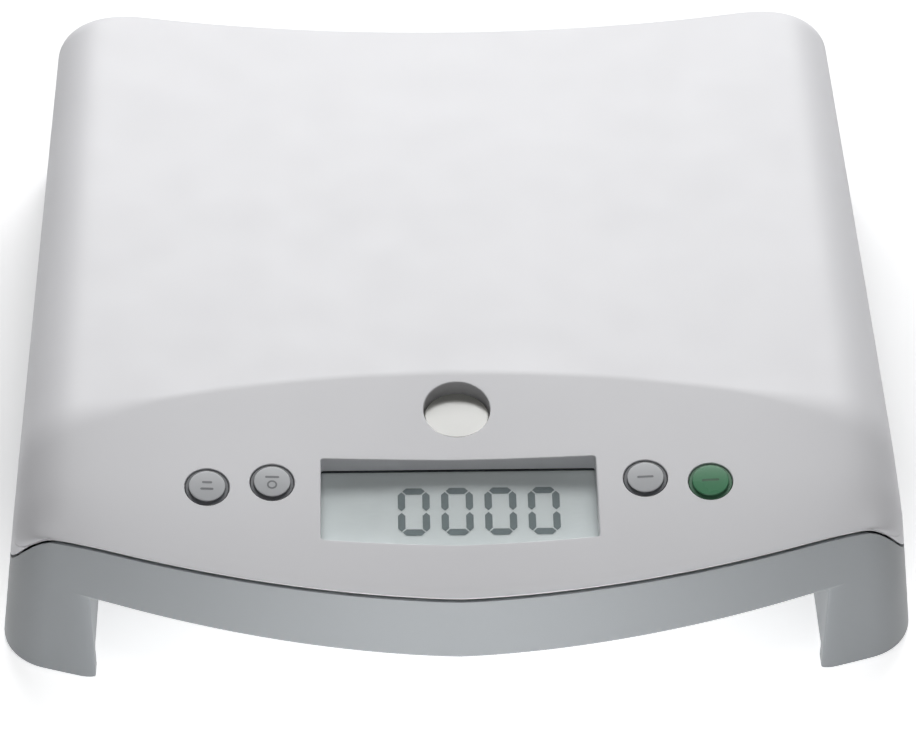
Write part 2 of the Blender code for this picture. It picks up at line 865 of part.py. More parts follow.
def pocket_y(y, run):
    """Front and back of a leg's pocket."""
    start = y - run * POCKET_FRONT
    return sorted((start, start + run * POCKET_LENGTH))


def beam_y(y, run):
    start = y - run * BEAM_OVERHANG
    return sorted((start, start + run * BEAM_LENGTH))


def beam_screw_y(y, run):
    return y + run * (BEAM_LENGTH - BEAM_OVERHANG - BEAM_SCREW_BACK)


def bay_half():
    return CELL_COUNT * CELL_PITCH / 2 + CELL_CLEAR


def bay_top():
    return FLOOR_UNDER + 2 * CELL_RADIUS + 2 * CELL_CLEAR


def hinge_line():
    """y and z of the battery door's hinge."""
    return BAY_Y + BAY_LENGTH / 2 + DOOR_LAP, FLOOR_UNDER - CLEAR - DOOR_THICK / 2


def skirt_top(seam, _):
    """Height of the skirt's edge, half a groove under the seam."""
    return seam - SEAM_GROOVE / 2


def skirt_step(seam, rim):
    """Height behind the skirt's lip, clear of the top shell's underside."""
    return min(skirt_top(seam, rim), rim - TOP_WALL - TONGUE_GAP)


def tongue_top(seam, rim):
    """Top of the inner wall that stands behind the seam and round the floor plate."""
    return max(skirt_step(seam, rim) + CLEAR, FLOOR_TOP + TONGUE_RISE)


def bottom_shell(look):
    outer = TOP_WALL + 2 * CLEAR
    inner = outer + TONGUE_WALL
    shell = loft("bottom_shell", [
        loop(LEG_BOTTOM, 0.0),
        loop(skirt_top, 0.0),
        loop(skirt_top, SKIRT_LIP),
        loop(skirt_step, outer),
        loop(tongue_top, outer),
        loop(tongue_top, inner),
        loop(FLOOR_TOP, inner),
    ], look=look)
    cut(shell, under_cavity(), front_notch())

    arch = upright_arch(BACK_ARCH_HALF, ARCH_TOP, ARCH_ROUND)
    back = BACK_FACE + OVERRUN
    inner = BACK_FACE - 3 * OVERRUN
    back_arch = loft("back_arch", [[(x, y, z) for x, z in arch] for y in (inner, back)], CUTTERS)
    middle = (BACK_LEG_END - FRONT_LEG_END) / 2
    half = (BACK_LEG_END + FRONT_LEG_END) / 2 - LEG_STEP
    arch = upright_arch(half, ARCH_TOP, ARCH_ROUND)
    wide = FOOT_WIDTH / 2 + OVERRUN
    side_arch = loft("side_arch", [[(x, middle + y, z) for y, z in arch] for x in (-wide, wide)], CUTTERS)
    cut(shell, back_arch, side_arch)

    pockets = []
    pads = []
    holes = []
    for name, x, y, run in foot_places():
        low, high = pocket_y(y, run)
        outline = rounded_rectangle(POCKET_HALF, (high - low) / 2, POCKET_ROUND, (x, (low + high) / 2))
        floor = LEG_BOTTOM + LEG_FLOOR
        pockets.append(prism(f"pocket_{name}", outline, floor, FLOOR_TOP + 2 * OVERRUN, CUTTERS))
        spot = beam_screw_y(y, run)
        pads.append(box(
            f"pad_{name}",
            (x - BEAM_SIZE / 2, spot - BEAM_SCREW_BACK, FLOOR_TOP - EMBED),
            (x + BEAM_SIZE / 2, spot + BEAM_SCREW_BACK, FLOOR_TOP + BEAM_LIFT - CLEAR),
            CUTTERS,
        ))
        holes.append(cylinder(
            f"foot_hole_{name}", FOOT_PAD_RADIUS + FOOT_GAP, -OVERRUN, floor + EMBED, CUTTERS,
            steps=ROUND_STEPS, centre=(x, y),
        ))
        holes.append(cylinder(
            f"beam_hole_{name}", BEAM_SCREW_RADIUS + CLEAR, FLOOR_UNDER - OVERRUN, FLOOR_TOP + OVERRUN,
            CUTTERS, centre=(x, spot),
        ))
    for i, (x, y) in enumerate(shell_screw_places()):
        holes.append(cylinder(
            f"screw_hole_{i}", SHELL_SCREW_RADIUS + CLEAR, FLOOR_UNDER - 2 * OVERRUN, FLOOR_TOP + OVERRUN,
            CUTTERS, centre=(x, y),
        ))

    across = bay_half()
    deep = BAY_LENGTH / 2
    bay = box(
        "bay", (-across - BAY_WALL, BAY_Y - deep - BAY_WALL, FLOOR_UNDER + EMBED),
        (across + BAY_WALL, BAY_Y + deep + BAY_WALL, bay_top() + BAY_WALL), CUTTERS,
    )
    bay_hollow = box(
        "bay_hollow", (-across, BAY_Y - deep, FLOOR_UNDER - OVERRUN), (across, BAY_Y + deep, bay_top()),
        CUTTERS,
    )
    ears = []
    hinge_y, hinge_z = hinge_line()
    door = across + DOOR_LAP
    turn = Matrix.Translation((0.0, hinge_y, hinge_z)) @ Matrix.Rotation(math.pi / 2, 4, "Y")
    for side in (-1, 1):
        ends = sorted((side * (door + CLEAR), side * (door + CLEAR + EAR_WALL)))
        ears.append(box(
            f"ear_{side}", (ends[0], hinge_y - EAR_HALF, hinge_z - EAR_HALF),
            (ends[1], hinge_y + EAR_HALF, FLOOR_UNDER + EMBED), CUTTERS,
        ))
    reach = door + EAR_WALL + OVERRUN
    pin_hole = cylinder("pin_hole", PIN_RADIUS + CLEAR, -reach, reach, CUTTERS, matrix=turn)
    ribs = under_ribs()
    bpy.context.view_layer.update()
    cut(shell, joined("pockets", pockets))
    add(shell, bay, joined("raised", pads + ears), ribs)
    cut(shell, bay_hollow, joined("round_holes", holes + [pin_hole]))
    return shell


def under_ribs():
    """Cross ribs under the floor plate, in front of and behind the battery door."""
    low = FLOOR_UNDER - RIB_DEPTH
    high = FLOOR_UNDER + EMBED
    narrow = NOTCH_HALF + LEG_STEP + EMBED
    door_front = BAY_Y - BAY_LENGTH / 2 - DOOR_LAP - 2 * OVERRUN
    door_back = BAY_Y + BAY_LENGTH / 2 + DOOR_LAP + 2 * OVERRUN
    span = door_front + FRONT_LEG_END
    pieces = []
    for i, y in enumerate((door_front, door_front - span / 2, door_front - span, door_back)):
        front = y - RIB_WALL / 2
        pieces.append(box(f"rib_{i}", (-narrow, front, low), (narrow, front + RIB_WALL, high), CUTTERS))
    bpy.context.view_layer.update()
    return joined("ribs", pieces)


# Display

def display_plate(name, look, grow, top, thick, hole=None):
    """Plate parallel to the panel, reaching past the display opening by grow on every side."""
    middle = -(LCD_BACK + LCD_FRONT) / 2
    deep = (LCD_FRONT - LCD_BACK + LCD_BOW) / 2
    frame = panel_frame(0.0, middle - LCD_BOW / 2, top)
    outline = rounded_rectangle(LCD_HALF + grow, deep + grow, LCD_CORNER, steps=2)
    if hole is None:
        made = prism(name, outline, -thick, 0.0, look=look)
    else:
        inside = rounded_rectangle(LCD_HALF + hole, deep + hole, LCD_CORNER, steps=2)
        made = loft(name, [
            [(x, y, 0.0) for x, y in outline],
            [(x, y, -thick) for x, y in outline],
            [(x, y, -thick) for x, y in inside],
            [(x, y, 0.0) for x, y in inside],
        ], look=look, closed=True)
    made.matrix_world = frame
    return made


def display(looks):
    window_top = WELL_DEPTH + CLEAR
    glass_top = window_top + WINDOW_THICK + CLEAR
    strip_top = glass_top + GLASS_THICK + CLEAR
    display_plate("display_window", looks["clear"], WELL_WALL + WINDOW_LAP, window_top, WINDOW_THICK)
    display_plate("display_glass", looks["glass"], GLASS_LAP, glass_top, GLASS_THICK)
    holder_inner = GLASS_LAP + CLEAR
    display_plate(
        "display_holder", looks["holder"], holder_inner + HOLDER_WALL, glass_top,
        GLASS_THICK + CLEAR + STRIP_THICK, hole=holder_inner,
    )
    deep = (LCD_FRONT - LCD_BACK + LCD_BOW) / 2 + GLASS_LAP
    middle = -(LCD_BACK + LCD_FRONT + LCD_BOW) / 2
    frame = panel_frame(0.0, middle, strip_top)
    box(
        "display_connector", (-LCD_HALF, deep - STRIP_WIDTH - CLEAR, -STRIP_THICK),
        (LCD_HALF, deep - CLEAR, 0.0), look=looks["rubber"], matrix=frame,
    )
    board(looks["board"])


def board(look):
    middle = -(BOARD_BACK + BOARD_FRONT) / 2
    half = (BOARD_FRONT - BOARD_BACK) / 2
    frame = panel_frame(0.0, middle, DISPLAY_STACK)
    outline = rounded_rectangle(BOARD_HALF, half, LCD_CORNER, steps=2)
    made = prism("display_board", outline, -BOARD_THICK, 0.0, look=look)
    made.matrix_world = frame
    chips = []
    for side in (-1, 1):
        chips.append(box(
            f"chip_{side}", (side * CHIP_SIZE * 2 - CHIP_SIZE / 2, -CHIP_SIZE / 2, -BOARD_THICK - CHIP_THICK),
            (side * CHIP_SIZE * 2 + CHIP_SIZE / 2, CHIP_SIZE / 2, -BOARD_THICK / 2), CUTTERS, matrix=frame,
        ))
    holes = []
    for i, (x, y) in enumerate(board_screw_places()):
        holes.append(cylinder(
            f"board_hole_{i}", BOARD_SCREW_RADIUS + CLEAR, -OVERRUN, OVERRUN, CUTTERS,
            matrix=panel_frame(x, y, DISPLAY_STACK),
        ))
    bpy.context.view_layer.update()
    add(made, joined("chips", chips))
    cut(made, joined("board_holes", holes))


# Keys

def key(name, look, dome_look):
    frame = surface_frame(*key_places()[name])
    reach = board_depth_along(frame)
    foot = -reach + DOME_HEIGHT + KEY_TRAVEL + 2 * CLEAR
    flange_top = -TOP_WALL - CLEAR
    flange = KEY_RADIUS + KEY_FLANGE
    turned(name, [
        (0.0, KEY_PROUD + KEY_CROWN),
        (KEY_RADIUS / 2, KEY_PROUD + KEY_CROWN * KEY_CROWN_SHARE),
        (KEY_RADIUS - KEY_CROWN, KEY_PROUD),
        (KEY_RADIUS, KEY_PROUD - KEY_CROWN),
        (KEY_RADIUS, flange_top),
        (flange, flange_top),
        (flange, flange_top - KEY_FLANGE_THICK),
        (KEY_STEM_RADIUS, flange_top - KEY_FLANGE_THICK),
        (KEY_STEM_RADIUS, foot),
        (0.0, foot),
    ], look, frame)
    base = frame @ Matrix.Translation((0.0, 0.0, -reach))
    plane = panel_frame(base.translation.x, base.translation.y, DISPLAY_STACK)
    turned(name.replace("key", "dome"), [
        (0.0, DOME_HEIGHT),
        (DOME_TOP_RADIUS, DOME_HEIGHT),
        (DOME_TOP_RADIUS + CLEAR, DOME_HEIGHT / 2),
        (DOME_RADIUS, CLEAR * 3),
        (DOME_RADIUS, CLEAR),
        (0.0, CLEAR),
    ], dome_look, plane, SMALL_STEPS)


# Tray release

def release(looks):
    place = Matrix.Translation((0.0, -RELEASE_Y, 0.0))
    disc = RELEASE_TOP - RELEASE_DISC
    flange = RELEASE_RADIUS + RELEASE_FLANGE
    seat = top_height(0.0, -RELEASE_Y - flange) - TOP_WALL / math.cos(math.atan(panel_slope())) - CLEAR
    end = seat - RELEASE_FLANGE_THICK
    turned("release_button", [
        (0.0, RELEASE_TOP),
        (RELEASE_RADIUS - CLEAR, RELEASE_TOP),
        (RELEASE_RADIUS, RELEASE_TOP - CLEAR),
        (RELEASE_RADIUS, seat),
        (flange, seat),
        (flange, end),
        (RELEASE_RADIUS - RELEASE_SKIRT, end),
        (RELEASE_RADIUS - RELEASE_SKIRT, disc),
        (RELEASE_STEM_RADIUS, disc),
        (RELEASE_STEM_RADIUS, RELEASE_STEM_END),
        (0.0, RELEASE_STEM_END),
    ], looks["cream"], place)
    base = FLOOR_TOP + CLEAR
    bore = RELEASE_STEM_RADIUS + CLEAR
    turned("release_guide", [
        (bore, GUIDE_TOP),
        (bore + GUIDE_TUBE_WALL, GUIDE_TOP),
        (bore + GUIDE_TUBE_WALL, base + GUIDE_FLANGE_THICK),
        (GUIDE_FLANGE_RADIUS, base + GUIDE_FLANGE_THICK),
        (GUIDE_FLANGE_RADIUS, base),
        (bore, base),
        (bore, GUIDE_TOP),
    ], looks["grey"], place)
    low = base + GUIDE_FLANGE_THICK + CLEAR + SPRING_WIRE
    high = disc - CLEAR - SPRING_WIRE
    spring(low, high, looks["steel"])


def spring(low, high, look):
    """Compression spring between the guide's flange and the button."""
    curve = bpy.data.curves.new("release_spring", "CURVE")
    curve.dimensions = "3D"
    curve.bevel_depth = SPRING_WIRE
    curve.bevel_resolution = 1
    curve.use_fill_caps = True
    per_turn = 12
    count = SPRING_TURNS * per_turn + 1
    path = curve.splines.new("POLY")
    path.points.add(count - 1)
    for i in range(count):
        turn = 2 * math.pi * i / per_turn
        x = SPRING_RADIUS * math.cos(turn)
        y = SPRING_RADIUS * math.sin(turn) - RELEASE_Y
        path.points[i].co = (x, y, mix(low, high, i / (count - 1)), 1.0)
    made = bpy.data.objects.new("release_spring", curve)
    curve.materials.append(look)
    collection(PARTS).objects.link(made)


# Load cells and feet

def load_cell(name, x, y, run, looks):
    low, high = beam_y(y, run)
    under = FLOOR_TOP + BEAM_LIFT
    beam = box(
        f"load_cell_{name}", (x - BEAM_SIZE / 2, low, under), (x + BEAM_SIZE / 2, high, under + BEAM_SIZE),
        look=looks["aluminium"],
    )
    middle = (low + high) / 2
    across = Matrix.Translation((x, middle, under + BEAM_SIZE / 2)) @ Matrix.Rotation(math.pi / 2, 4, "Y")
    bores = [
        cylinder(f"cell_bore_{name}_{side}", BEAM_BORE, -BEAM_SIZE, BEAM_SIZE, CUTTERS, matrix=across,
                 centre=(0.0, side * BEAM_BORE_PITCH / 2))
        for side in (-1, 1)
    ]
    slot_half = BEAM_BORE_PITCH / 2
    slot_low = under + BEAM_SIZE / 2 - BEAM_SLOT / 2
    slot = box(
        f"cell_slot_{name}", (x - BEAM_SIZE, middle - slot_half, slot_low),
        (x + BEAM_SIZE, middle + slot_half, slot_low + BEAM_SLOT), CUTTERS,
    )
    spot = beam_screw_y(y, run)
    hole = cylinder(
        f"cell_hole_{name}", BEAM_SCREW_RADIUS + CLEAR, under - OVERRUN, under + BEAM_SIZE + OVERRUN, CUTTERS,
        centre=(x, spot),
    )
    bpy.context.view_layer.update()
    cut(beam, joined(f"cell_cut_{name}", bores + [hole]), slot)
    screw(f"cell_screw_{name}", BEAM_SCREW_RADIUS, under + BEAM_SIZE + CLEAR, under - FLOOR_UNDER + BEAM_SIZE,
          looks["steel"], Matrix.Translation((x, spot, 0.0)))
    turned(f"foot_post_{name}", [
        (0.0, under - CLEAR),
        (POST_RADIUS, under - CLEAR),
        (POST_RADIUS, FOOT_PAD_THICK + CLEAR + POST_COLLAR),
        (POST_COLLAR_RADIUS, FOOT_PAD_THICK + CLEAR + POST_COLLAR),
        (POST_COLLAR_RADIUS, FOOT_PAD_THICK + CLEAR),
        (0.0, FOOT_PAD_THICK + CLEAR),
    ], looks["grey"], Matrix.Translation((x, y, 0.0)), SMALL_STEPS)
    turned(f"foot_pad_{name}", [
        (0.0, FOOT_PAD_THICK),
        (FOOT_PAD_RADIUS, FOOT_PAD_THICK),
        (FOOT_PAD_RADIUS, FOOT_PAD_EDGE),
        (FOOT_PAD_RADIUS - FOOT_PAD_EDGE, 0.0),
        (0.0, 0.0),
    ], looks["rubber"], Matrix.Translation((x, y, 0.0)))


def screw(name, radius, seat, length, look, matrix):
    """Pan-head screw along Z: its head stands on seat and its shank runs down."""
    head = radius * SCREW_HEAD_SHARE
    thick = radius * SCREW_HEAD_THICK_SHARE
    turned(name, [
        (0.0, seat + thick),
        (head - thick / 2, seat + thick),
        (head, seat + thick / 2),
        (head, seat),
        (radius, seat),
        (radius, seat - length + radius),
        (radius / 3, seat - length),
        (0.0, seat - length),
    ], look, matrix, SMALL_STEPS)


def screws(looks):
    flip = Matrix.Rotation(math.pi, 4, "X")
    for i, (x, y) in enumerate(shell_screw_places()):
        place = Matrix.Translation((x, y, FLOOR_UNDER)) @ flip
        screw(f"shell_screw_{i + 1}", SHELL_SCREW_RADIUS, CLEAR, SHELL_SCREW_LENGTH, looks["steel"], place)
    for i, (x, y) in enumerate(board_screw_places()):
        place = panel_frame(x, y, DISPLAY_STACK + BOARD_THICK) @ flip
        length = BOARD_THICK + DISPLAY_STACK - TOP_WALL - 2 * CLEAR
        screw(f"board_screw_{i + 1}", BOARD_SCREW_RADIUS, CLEAR, length, looks["steel"], place)


# Batteries

def batteries(looks):
    z = FLOOR_UNDER + CELL_CLEAR + CELL_RADIUS
    for i in range(CELL_COUNT):
        x = (i - (CELL_COUNT - 1) / 2) * CELL_PITCH
        facing = 1 if i % 2 else -1
        place = Matrix.Translation((x, BAY_Y, z)) @ Matrix.Rotation(-facing * math.pi / 2, 4, "X")
        half = CELL_LENGTH / 2
        turned(f"battery_{i + 1}", [
            (0.0, half + CELL_NUB),
            (CELL_NUB_RADIUS, half + CELL_NUB),
            (CELL_NUB_RADIUS, half),
            (CELL_RADIUS - CELL_NUB / 2, half),
            (CELL_RADIUS, half - CELL_NUB / 2),
            (CELL_RADIUS, CELL_NUB / 2 - half),
            (CELL_RADIUS - CELL_NUB / 2, -half),
            (0.0, -half),
        ], looks["cell"], place)
    for name, side in (("front", -1), ("back", 1)):
        wall = BAY_Y + side * (BAY_LENGTH / 2 - CLEAR)
        face = wall - side * CONTACT_THICK
        low, high = sorted((wall, face))
        across = bay_half() - CLEAR
        strip = box(
            f"battery_contact_{name}", (-across, low, z - CONTACT_HEIGHT / 2),
            (across, high, z + CONTACT_HEIGHT / 2), look=looks["steel"],
        )
        buttons = []
        for i in range(CELL_COUNT):
            x = (i - (CELL_COUNT - 1) / 2) * CELL_PITCH
            facing = 1 if i % 2 else -1
            tip = CELL_LENGTH / 2 + CLEAR + (CELL_NUB if facing == side else 0.0)
            depth = abs(face - BAY_Y) - tip + CONTACT_THICK / 2
            place = Matrix.Translation((x, face + side * CONTACT_THICK / 2, z))
            place @= Matrix.Rotation(side * math.pi / 2, 4, "X")
            buttons.append(cylinder(
                f"button_{name}_{i}", CONTACT_SPRING_RADIUS, 0.0, depth, CUTTERS, matrix=place, steps=12
            ))
        bpy.context.view_layer.update()
        add(strip, joined(f"buttons_{name}", buttons))


def battery_door(look):
    """Plate with a round hinge edge, pins on the hinge line and a latch tab at its free edge."""
    hinge_y, hinge_z = hinge_line()
    across = bay_half() + DOOR_LAP
    radius = DOOR_THICK / 2
    length = BAY_LENGTH + 2 * DOOR_LAP
    outline = []
    for step in range(9):
        angle = (step / 8 - 0.5) * math.pi
        outline.append((radius * math.cos(angle), radius * math.sin(angle)))
    outline += [(-length, radius), (-length, -radius)]
    door = loft("battery_door", [[(x, y, z) for y, z in outline] for x in (-across, across)], look=look)
    turn = Matrix.Rotation(math.pi / 2, 4, "Y")
    pin = cylinder("hinge_pin", PIN_RADIUS, -across - PIN_LENGTH, across + PIN_LENGTH, CUTTERS, matrix=turn)
    edge = -length + DOOR_LAP + CLEAR
    tab = box(
        "latch_tab", (-TAB_WIDTH / 2, edge, 0.0), (TAB_WIDTH / 2, edge + TAB_THICK, radius + TAB_HEIGHT),
        CUTTERS,
    )
    place = Matrix.Translation((0.0, hinge_y, hinge_z))
    door.matrix_world = place
    tab.matrix_world = place
    pin.matrix_world = place @ turn
    bpy.context.view_layer.update()
    add(door, pin, tab)


def smooth_shading():
    for obj in collection(PARTS).objects:
        if obj.type == "MESH":
            obj.data.shade_smooth()
            obj.data.set_sharp_from_angle(angle=math.radians(35))


def main():
    clear_scene()
    looks = {
        "white": material("white_abs", (0.82, 0.83, 0.84), 0.35),
        "grey": material("grey_abs", (0.33, 0.35, 0.38), 0.45),
        "cream": material("cream_abs", (0.74, 0.73, 0.67), 0.4),
        "key": material("key_abs", (0.55, 0.57, 0.60), 0.4),
        "green": material("green_abs", (0.08, 0.30, 0.14), 0.35),
        "clear": material("clear_acrylic", (0.90, 0.93, 0.93), 0.05),
        "glass": material("display_glass", (0.55, 0.60, 0.56), 0.15),
        "holder": material("holder_abs", (0.10, 0.10, 0.11), 0.5),
        "rubber": material("black_rubber", (0.03, 0.03, 0.03), 0.8),
        "silicone": material("grey_silicone", (0.40, 0.40, 0.42), 0.7),
        "board": material("board_laminate", (0.03, 0.22, 0.09), 0.4),
        "aluminium": material("milled_aluminium", (0.77, 0.78, 0.80), 0.35, 1.0),
        "steel": material("plated_steel", (0.62, 0.62, 0.63), 0.3, 1.0),
        "cell": material("cell_sleeve", (0.10, 0.11, 0.14), 0.35),
    }
    top_shell(looks["white"])
    bottom_shell(looks["grey"])
    display(looks)
    for name in key_places():
        key(name, looks["green"] if name == "start_key" else looks["key"], looks["silicone"])
    release(looks)
    for name, x, y, run in foot_places():
        load_cell(name, x, y, run, looks)
    screws(looks)
    batteries(looks)
    battery_door(looks["grey"])
    smooth_shading()


main()
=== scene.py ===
"""Baby scale base: fine shells, display, keys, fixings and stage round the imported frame. Metres, +Z up."""

import math
from functools import cache

import bmesh
import bpy
from mathutils import Matrix, Vector


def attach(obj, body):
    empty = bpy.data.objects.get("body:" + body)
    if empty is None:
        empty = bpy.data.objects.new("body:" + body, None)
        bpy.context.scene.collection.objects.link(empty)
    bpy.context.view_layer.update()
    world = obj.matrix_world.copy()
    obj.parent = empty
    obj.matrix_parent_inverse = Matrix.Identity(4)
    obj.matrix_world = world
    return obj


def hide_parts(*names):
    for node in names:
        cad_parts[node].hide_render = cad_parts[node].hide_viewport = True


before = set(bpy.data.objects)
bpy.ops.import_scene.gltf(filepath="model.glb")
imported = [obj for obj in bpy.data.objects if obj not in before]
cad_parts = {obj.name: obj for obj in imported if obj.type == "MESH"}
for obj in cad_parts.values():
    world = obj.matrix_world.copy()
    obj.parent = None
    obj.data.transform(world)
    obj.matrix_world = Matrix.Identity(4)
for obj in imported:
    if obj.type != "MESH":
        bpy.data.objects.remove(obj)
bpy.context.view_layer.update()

bl_info = {
    "name": "Baby scale base",
    "version": (1, 0, 0),
    "blender": (4, 5, 0),
    "location": "View3D > Sidebar > Scale",
    "description": "Fine shells, display, keys and finishes of a baby scale base around its packed frame",
    "category": "Object",
}

# Plan of the shells at floor level
FOOT_WIDTH = 0.330
FRONT_APEX = 0.1612
BACK_FACE = 0.1593
FRONT_RADIUS = 0.482
FRONT_CORNER = 0.022
BACK_CORNER = 0.014
SIDE_DRAFT_SHARE = 0.133
FRONT_DRAFT_SHARE = 0.078
BACK_DRAFT_SHARE = 0.100

# Saddle and sloping panel
PROFILE_SPAN = 0.150
MID_BACK = 0.06999
MID_FRONT = 0.0747
RISE_BACK = 0.0143
RISE_FRONT = 0.0043
CREASE_Y = 0.0617
CREASE_BOW = 0.0290
CREASE_ROUND = 0.0015
CREASE_FADE = 0.0065
FADE_START = 0.100
SHOULDER_SPAN = 0.0226
SHOULDER_DROP = 0.0200
CORNER_SPAN = 0.0040
CORNER_DROP = 0.0001
CORNER_POWER_SHARE = 1.5

# Seam between the shells
SEAM_MID = 0.0541
SEAM_RISE = 0.0118
SEAM_POWER_SHARE = 1.23
SEAM_BEND_START = 0.1200
SEAM_BEND_SHARE = 3.5
SEAM_SIDE = 0.0395
SEAM_GROOVE = 0.0014
FRONT_LIP = 0.0002
EDGE_ROLL = 0.0004
EDGE_DROP = 0.0010
UNDERCUT = 0.0009
BACK_ROLL = 0.0030
TONGUE_WALL = 0.0016
TONGUE_RISE = 0.0016
TONGUE_GAP = 0.0010
SKIRT_LIP = 0.0004

# Walls and clearances
TOP_WALL = 0.0024
CLEAR = 0.0003
OVERRUN = 0.0060
EMBED = 0.0012

# Lower shell
LEG_BOTTOM = 0.0020
LEG_FLOOR = 0.0030
FLOOR_UNDER = 0.0430
FLOOR_WALL = 0.0025
FLOOR_TOP = FLOOR_UNDER + FLOOR_WALL
SKIRT_MID = 0.0270
SKIRT_FALL = 0.0038
NOTCH_HALF = 0.1303
NOTCH_FLARE = 0.0080
NOTCH_DEPTH = 0.0020
NOTCH_CORNER = 0.0015
SKIRT_ROUND = 0.0020
LEG_STEP = 0.0010
LIP_WALL = 0.0045
FRONT_LEG_END = 0.0850
BACK_LEG_END = 0.1000
ARCH_TOP = 0.0290
ARCH_ROUND = 0.0080
RIB_DEPTH = 0.0055
RIB_WALL = 0.0015

# Display opening and what lies under it
LCD_HALF = 0.0488
LCD_BACK = 0.1003
LCD_FRONT = 0.1342
LCD_BOW = 0.0013
LCD_CORNER = 0.0010
WELL_DEPTH = 0.0041
WELL_WALL = 0.0018
WELL_REACH_SHARE = 0.8
WINDOW_THICK = 0.0012
GLASS_TOP = WELL_DEPTH + CLEAR + WINDOW_THICK + CLEAR
DIGIT_ROW_Y = -0.1167
DIGIT_FIRST_X = -0.01600

# Keys and release button
KEY_OUTER_X = 0.0887
KEY_INNER_X = 0.0659
KEY_OUTER_Y = 0.1138
KEY_INNER_Y = 0.1110
KEY_RADIUS = 0.0076
KEY_FLANGE = 0.0014
KEY_FLANGE_THICK = 0.0010
KEY_STEM = 0.0026
CROWN = 0.0002
CROWN_RINGS = (0.05, 0.3, 0.55, 0.8)
CAP_EDGE = 0.0003
CAP_EDGE_SHARE = 0.8
MOAT_DEPTH = 0.0004
MOAT_WALL_SHARE = 1.25
MARK_FILM = 0.00006
MARK_RING_RADIUS = 0.0018
MARK_RING_Y = -0.0016
MARK_RING_SHARE = 0.7
ROUND_END_SHARE = 0.99
RELEASE_Y = 0.0781
RELEASE_RADIUS = 0.0117
RELEASE_TOP = 0.0686
RELEASE_DISH = 0.0002
DISH_MID_SHARE = 0.75
DISH_POLE_SHARE = 0.75
RELEASE_EDGE = 0.0005
RELEASE_DISC = 0.0030
RELEASE_SKIRT = 0.0014
RELEASE_FLANGE = 0.0018
RELEASE_FLANGE_THICK = 0.0020
COLLAR_WALL = 0.0010
RELEASE_STEM_RADIUS = 0.0030
RELEASE_STEM_END = 0.0525

# Feet, load cell pads and fixings
FOOT_X = 0.1445
FRONT_FOOT_Y = 0.1150
BACK_FOOT_Y = 0.1350
FOOT_PAD_RADIUS = 0.0100
FOOT_PAD_THICK = 0.0040
FOOT_PAD_EDGE = 0.0010
STUD_TIP_SHARE = 0.6
STUD_SIDES = 10
FOOT_GAP = 0.0008
POCKET_HALF = 0.0110
POCKET_ROUND = 0.0100
POCKET_FRONT = 0.0100
POCKET_LENGTH = 0.0395
BEAM_SIZE = 0.0110
BEAM_LENGTH = 0.0660
BEAM_OVERHANG = 0.0055
BEAM_LIFT = 0.0017
BEAM_SCREW_RADIUS = 0.0017
BEAM_SCREW_BACK = 0.0080
SHELL_SCREW_X = 0.1120
SHELL_SCREW_FRONT = 0.0600
SHELL_SCREW_MID = 0.0450
SHELL_SCREW_BACK = 0.1380
SHELL_SCREW_RADIUS = 0.0015
SHELL_SCREW_LENGTH = 0.0120
SCREW_HEAD_SHARE = 2.0
SCREW_DOME_SHARE = 1.3
SCREW_TURN = 0.7
RECESS_ARM_SHARE = 1.1
RECESS_FLOOR_SHARE = 0.35
SHELL_BOSS_RADIUS = 0.0040

# Batteries and their door
CELL_RADIUS = 0.00725
CELL_LENGTH = 0.0492
CELL_NUB_RADIUS = 0.0026
CELL_NUB = 0.0010
CELL_PITCH = 0.0150
CELL_COUNT = 6
CELL_CLEAR = 0.0007
BAY_Y = 0.0350
BAY_LENGTH = 0.0600
BAY_WALL = 0.0022
DOOR_THICK = 0.0022
DOOR_LAP = 0.0030
PIN_RADIUS = 0.0009
PIN_LENGTH = 0.0022
EAR_WALL = 0.0026
EAR_HALF = 0.0030
TAB_WIDTH = 0.0120
TAB_THICK = 0.0014
TAB_HEIGHT = 0.0030

# Steps of the fine meshes
FLAT_STEPS = 52
ROLL_STEPS = 14
PANEL_STEPS = 9
CORNER_STEPS = 20
CREASE_STEPS = 12
SADDLE_STEPS = 24
BACK_STEPS = 10
EDGE_STEPS = 6
TURN_STEPS = 64
SMALL_STEPS = 40
ROD_STEPS = 24
HOLE_STEPS = 20
BORE_STEPS = 16
ROUND_STEPS = 6

# Rounds to settle a rim, a turned piece's small end face, and the angle that the shoulder turns through
RIM_ROUNDS = 5
POLE_RADIUS = 0.0004
ROLL_REACH = 0.922 * math.pi / 2

# Patterns of the finishes: noise range used, sizes of patches and grains, drift of tone and gloss, depths
NOISE_LOW = 0.3
NOISE_HIGH = 0.7
FLOW_PATCH = 0.060
FLOW_DRIFT = 0.012
WEAR_PATCH = 0.018
GLOSS_DRIFT = 0.03
MOULD_GRAIN = 0.0004
MOULD_DEPTH = 0.00002
KEY_GRAIN = 0.0005
KEY_DEPTH = 0.00001
BUTTON_GRAIN = 0.0006
INK_GRAIN = 0.0003
HAZE_PATCH = 0.012
STREAK_SIZE = 0.004
STREAK_STRETCH = 8.0
INK_PATCH = 0.003
BLOOM_PATCH = 0.004
PEBBLE_SIZE = 0.0006
PEBBLE_DEPTH = 0.0001
CLOUD_PATCH = 0.003
WEAVE_SIZE = 0.0040
WEAVE_DEPTH = 0.00003
FILM_PATCH = 0.005
MILLED_STREAK = (0.020, 0.0004)
PLATED_STREAK = (0.0012, 0.0010)
STREAK_GLOSS = 0.08
TABLE_PATCH = 1.5

# The photograph's view
PHOTO_WIDTH = 916
FOCAL_PIXELS = 3466
SENSOR = 36.0
VIEW_TARGET = (0.00185, -0.03044, 0.0500)
VIEW_DISTANCE = 1.295
VIEW_ELEVATION = 42.0
VIEW_TURN = -1.90
VIEW_ROLL = 0.666
CAMERA_CLIP = 0.05

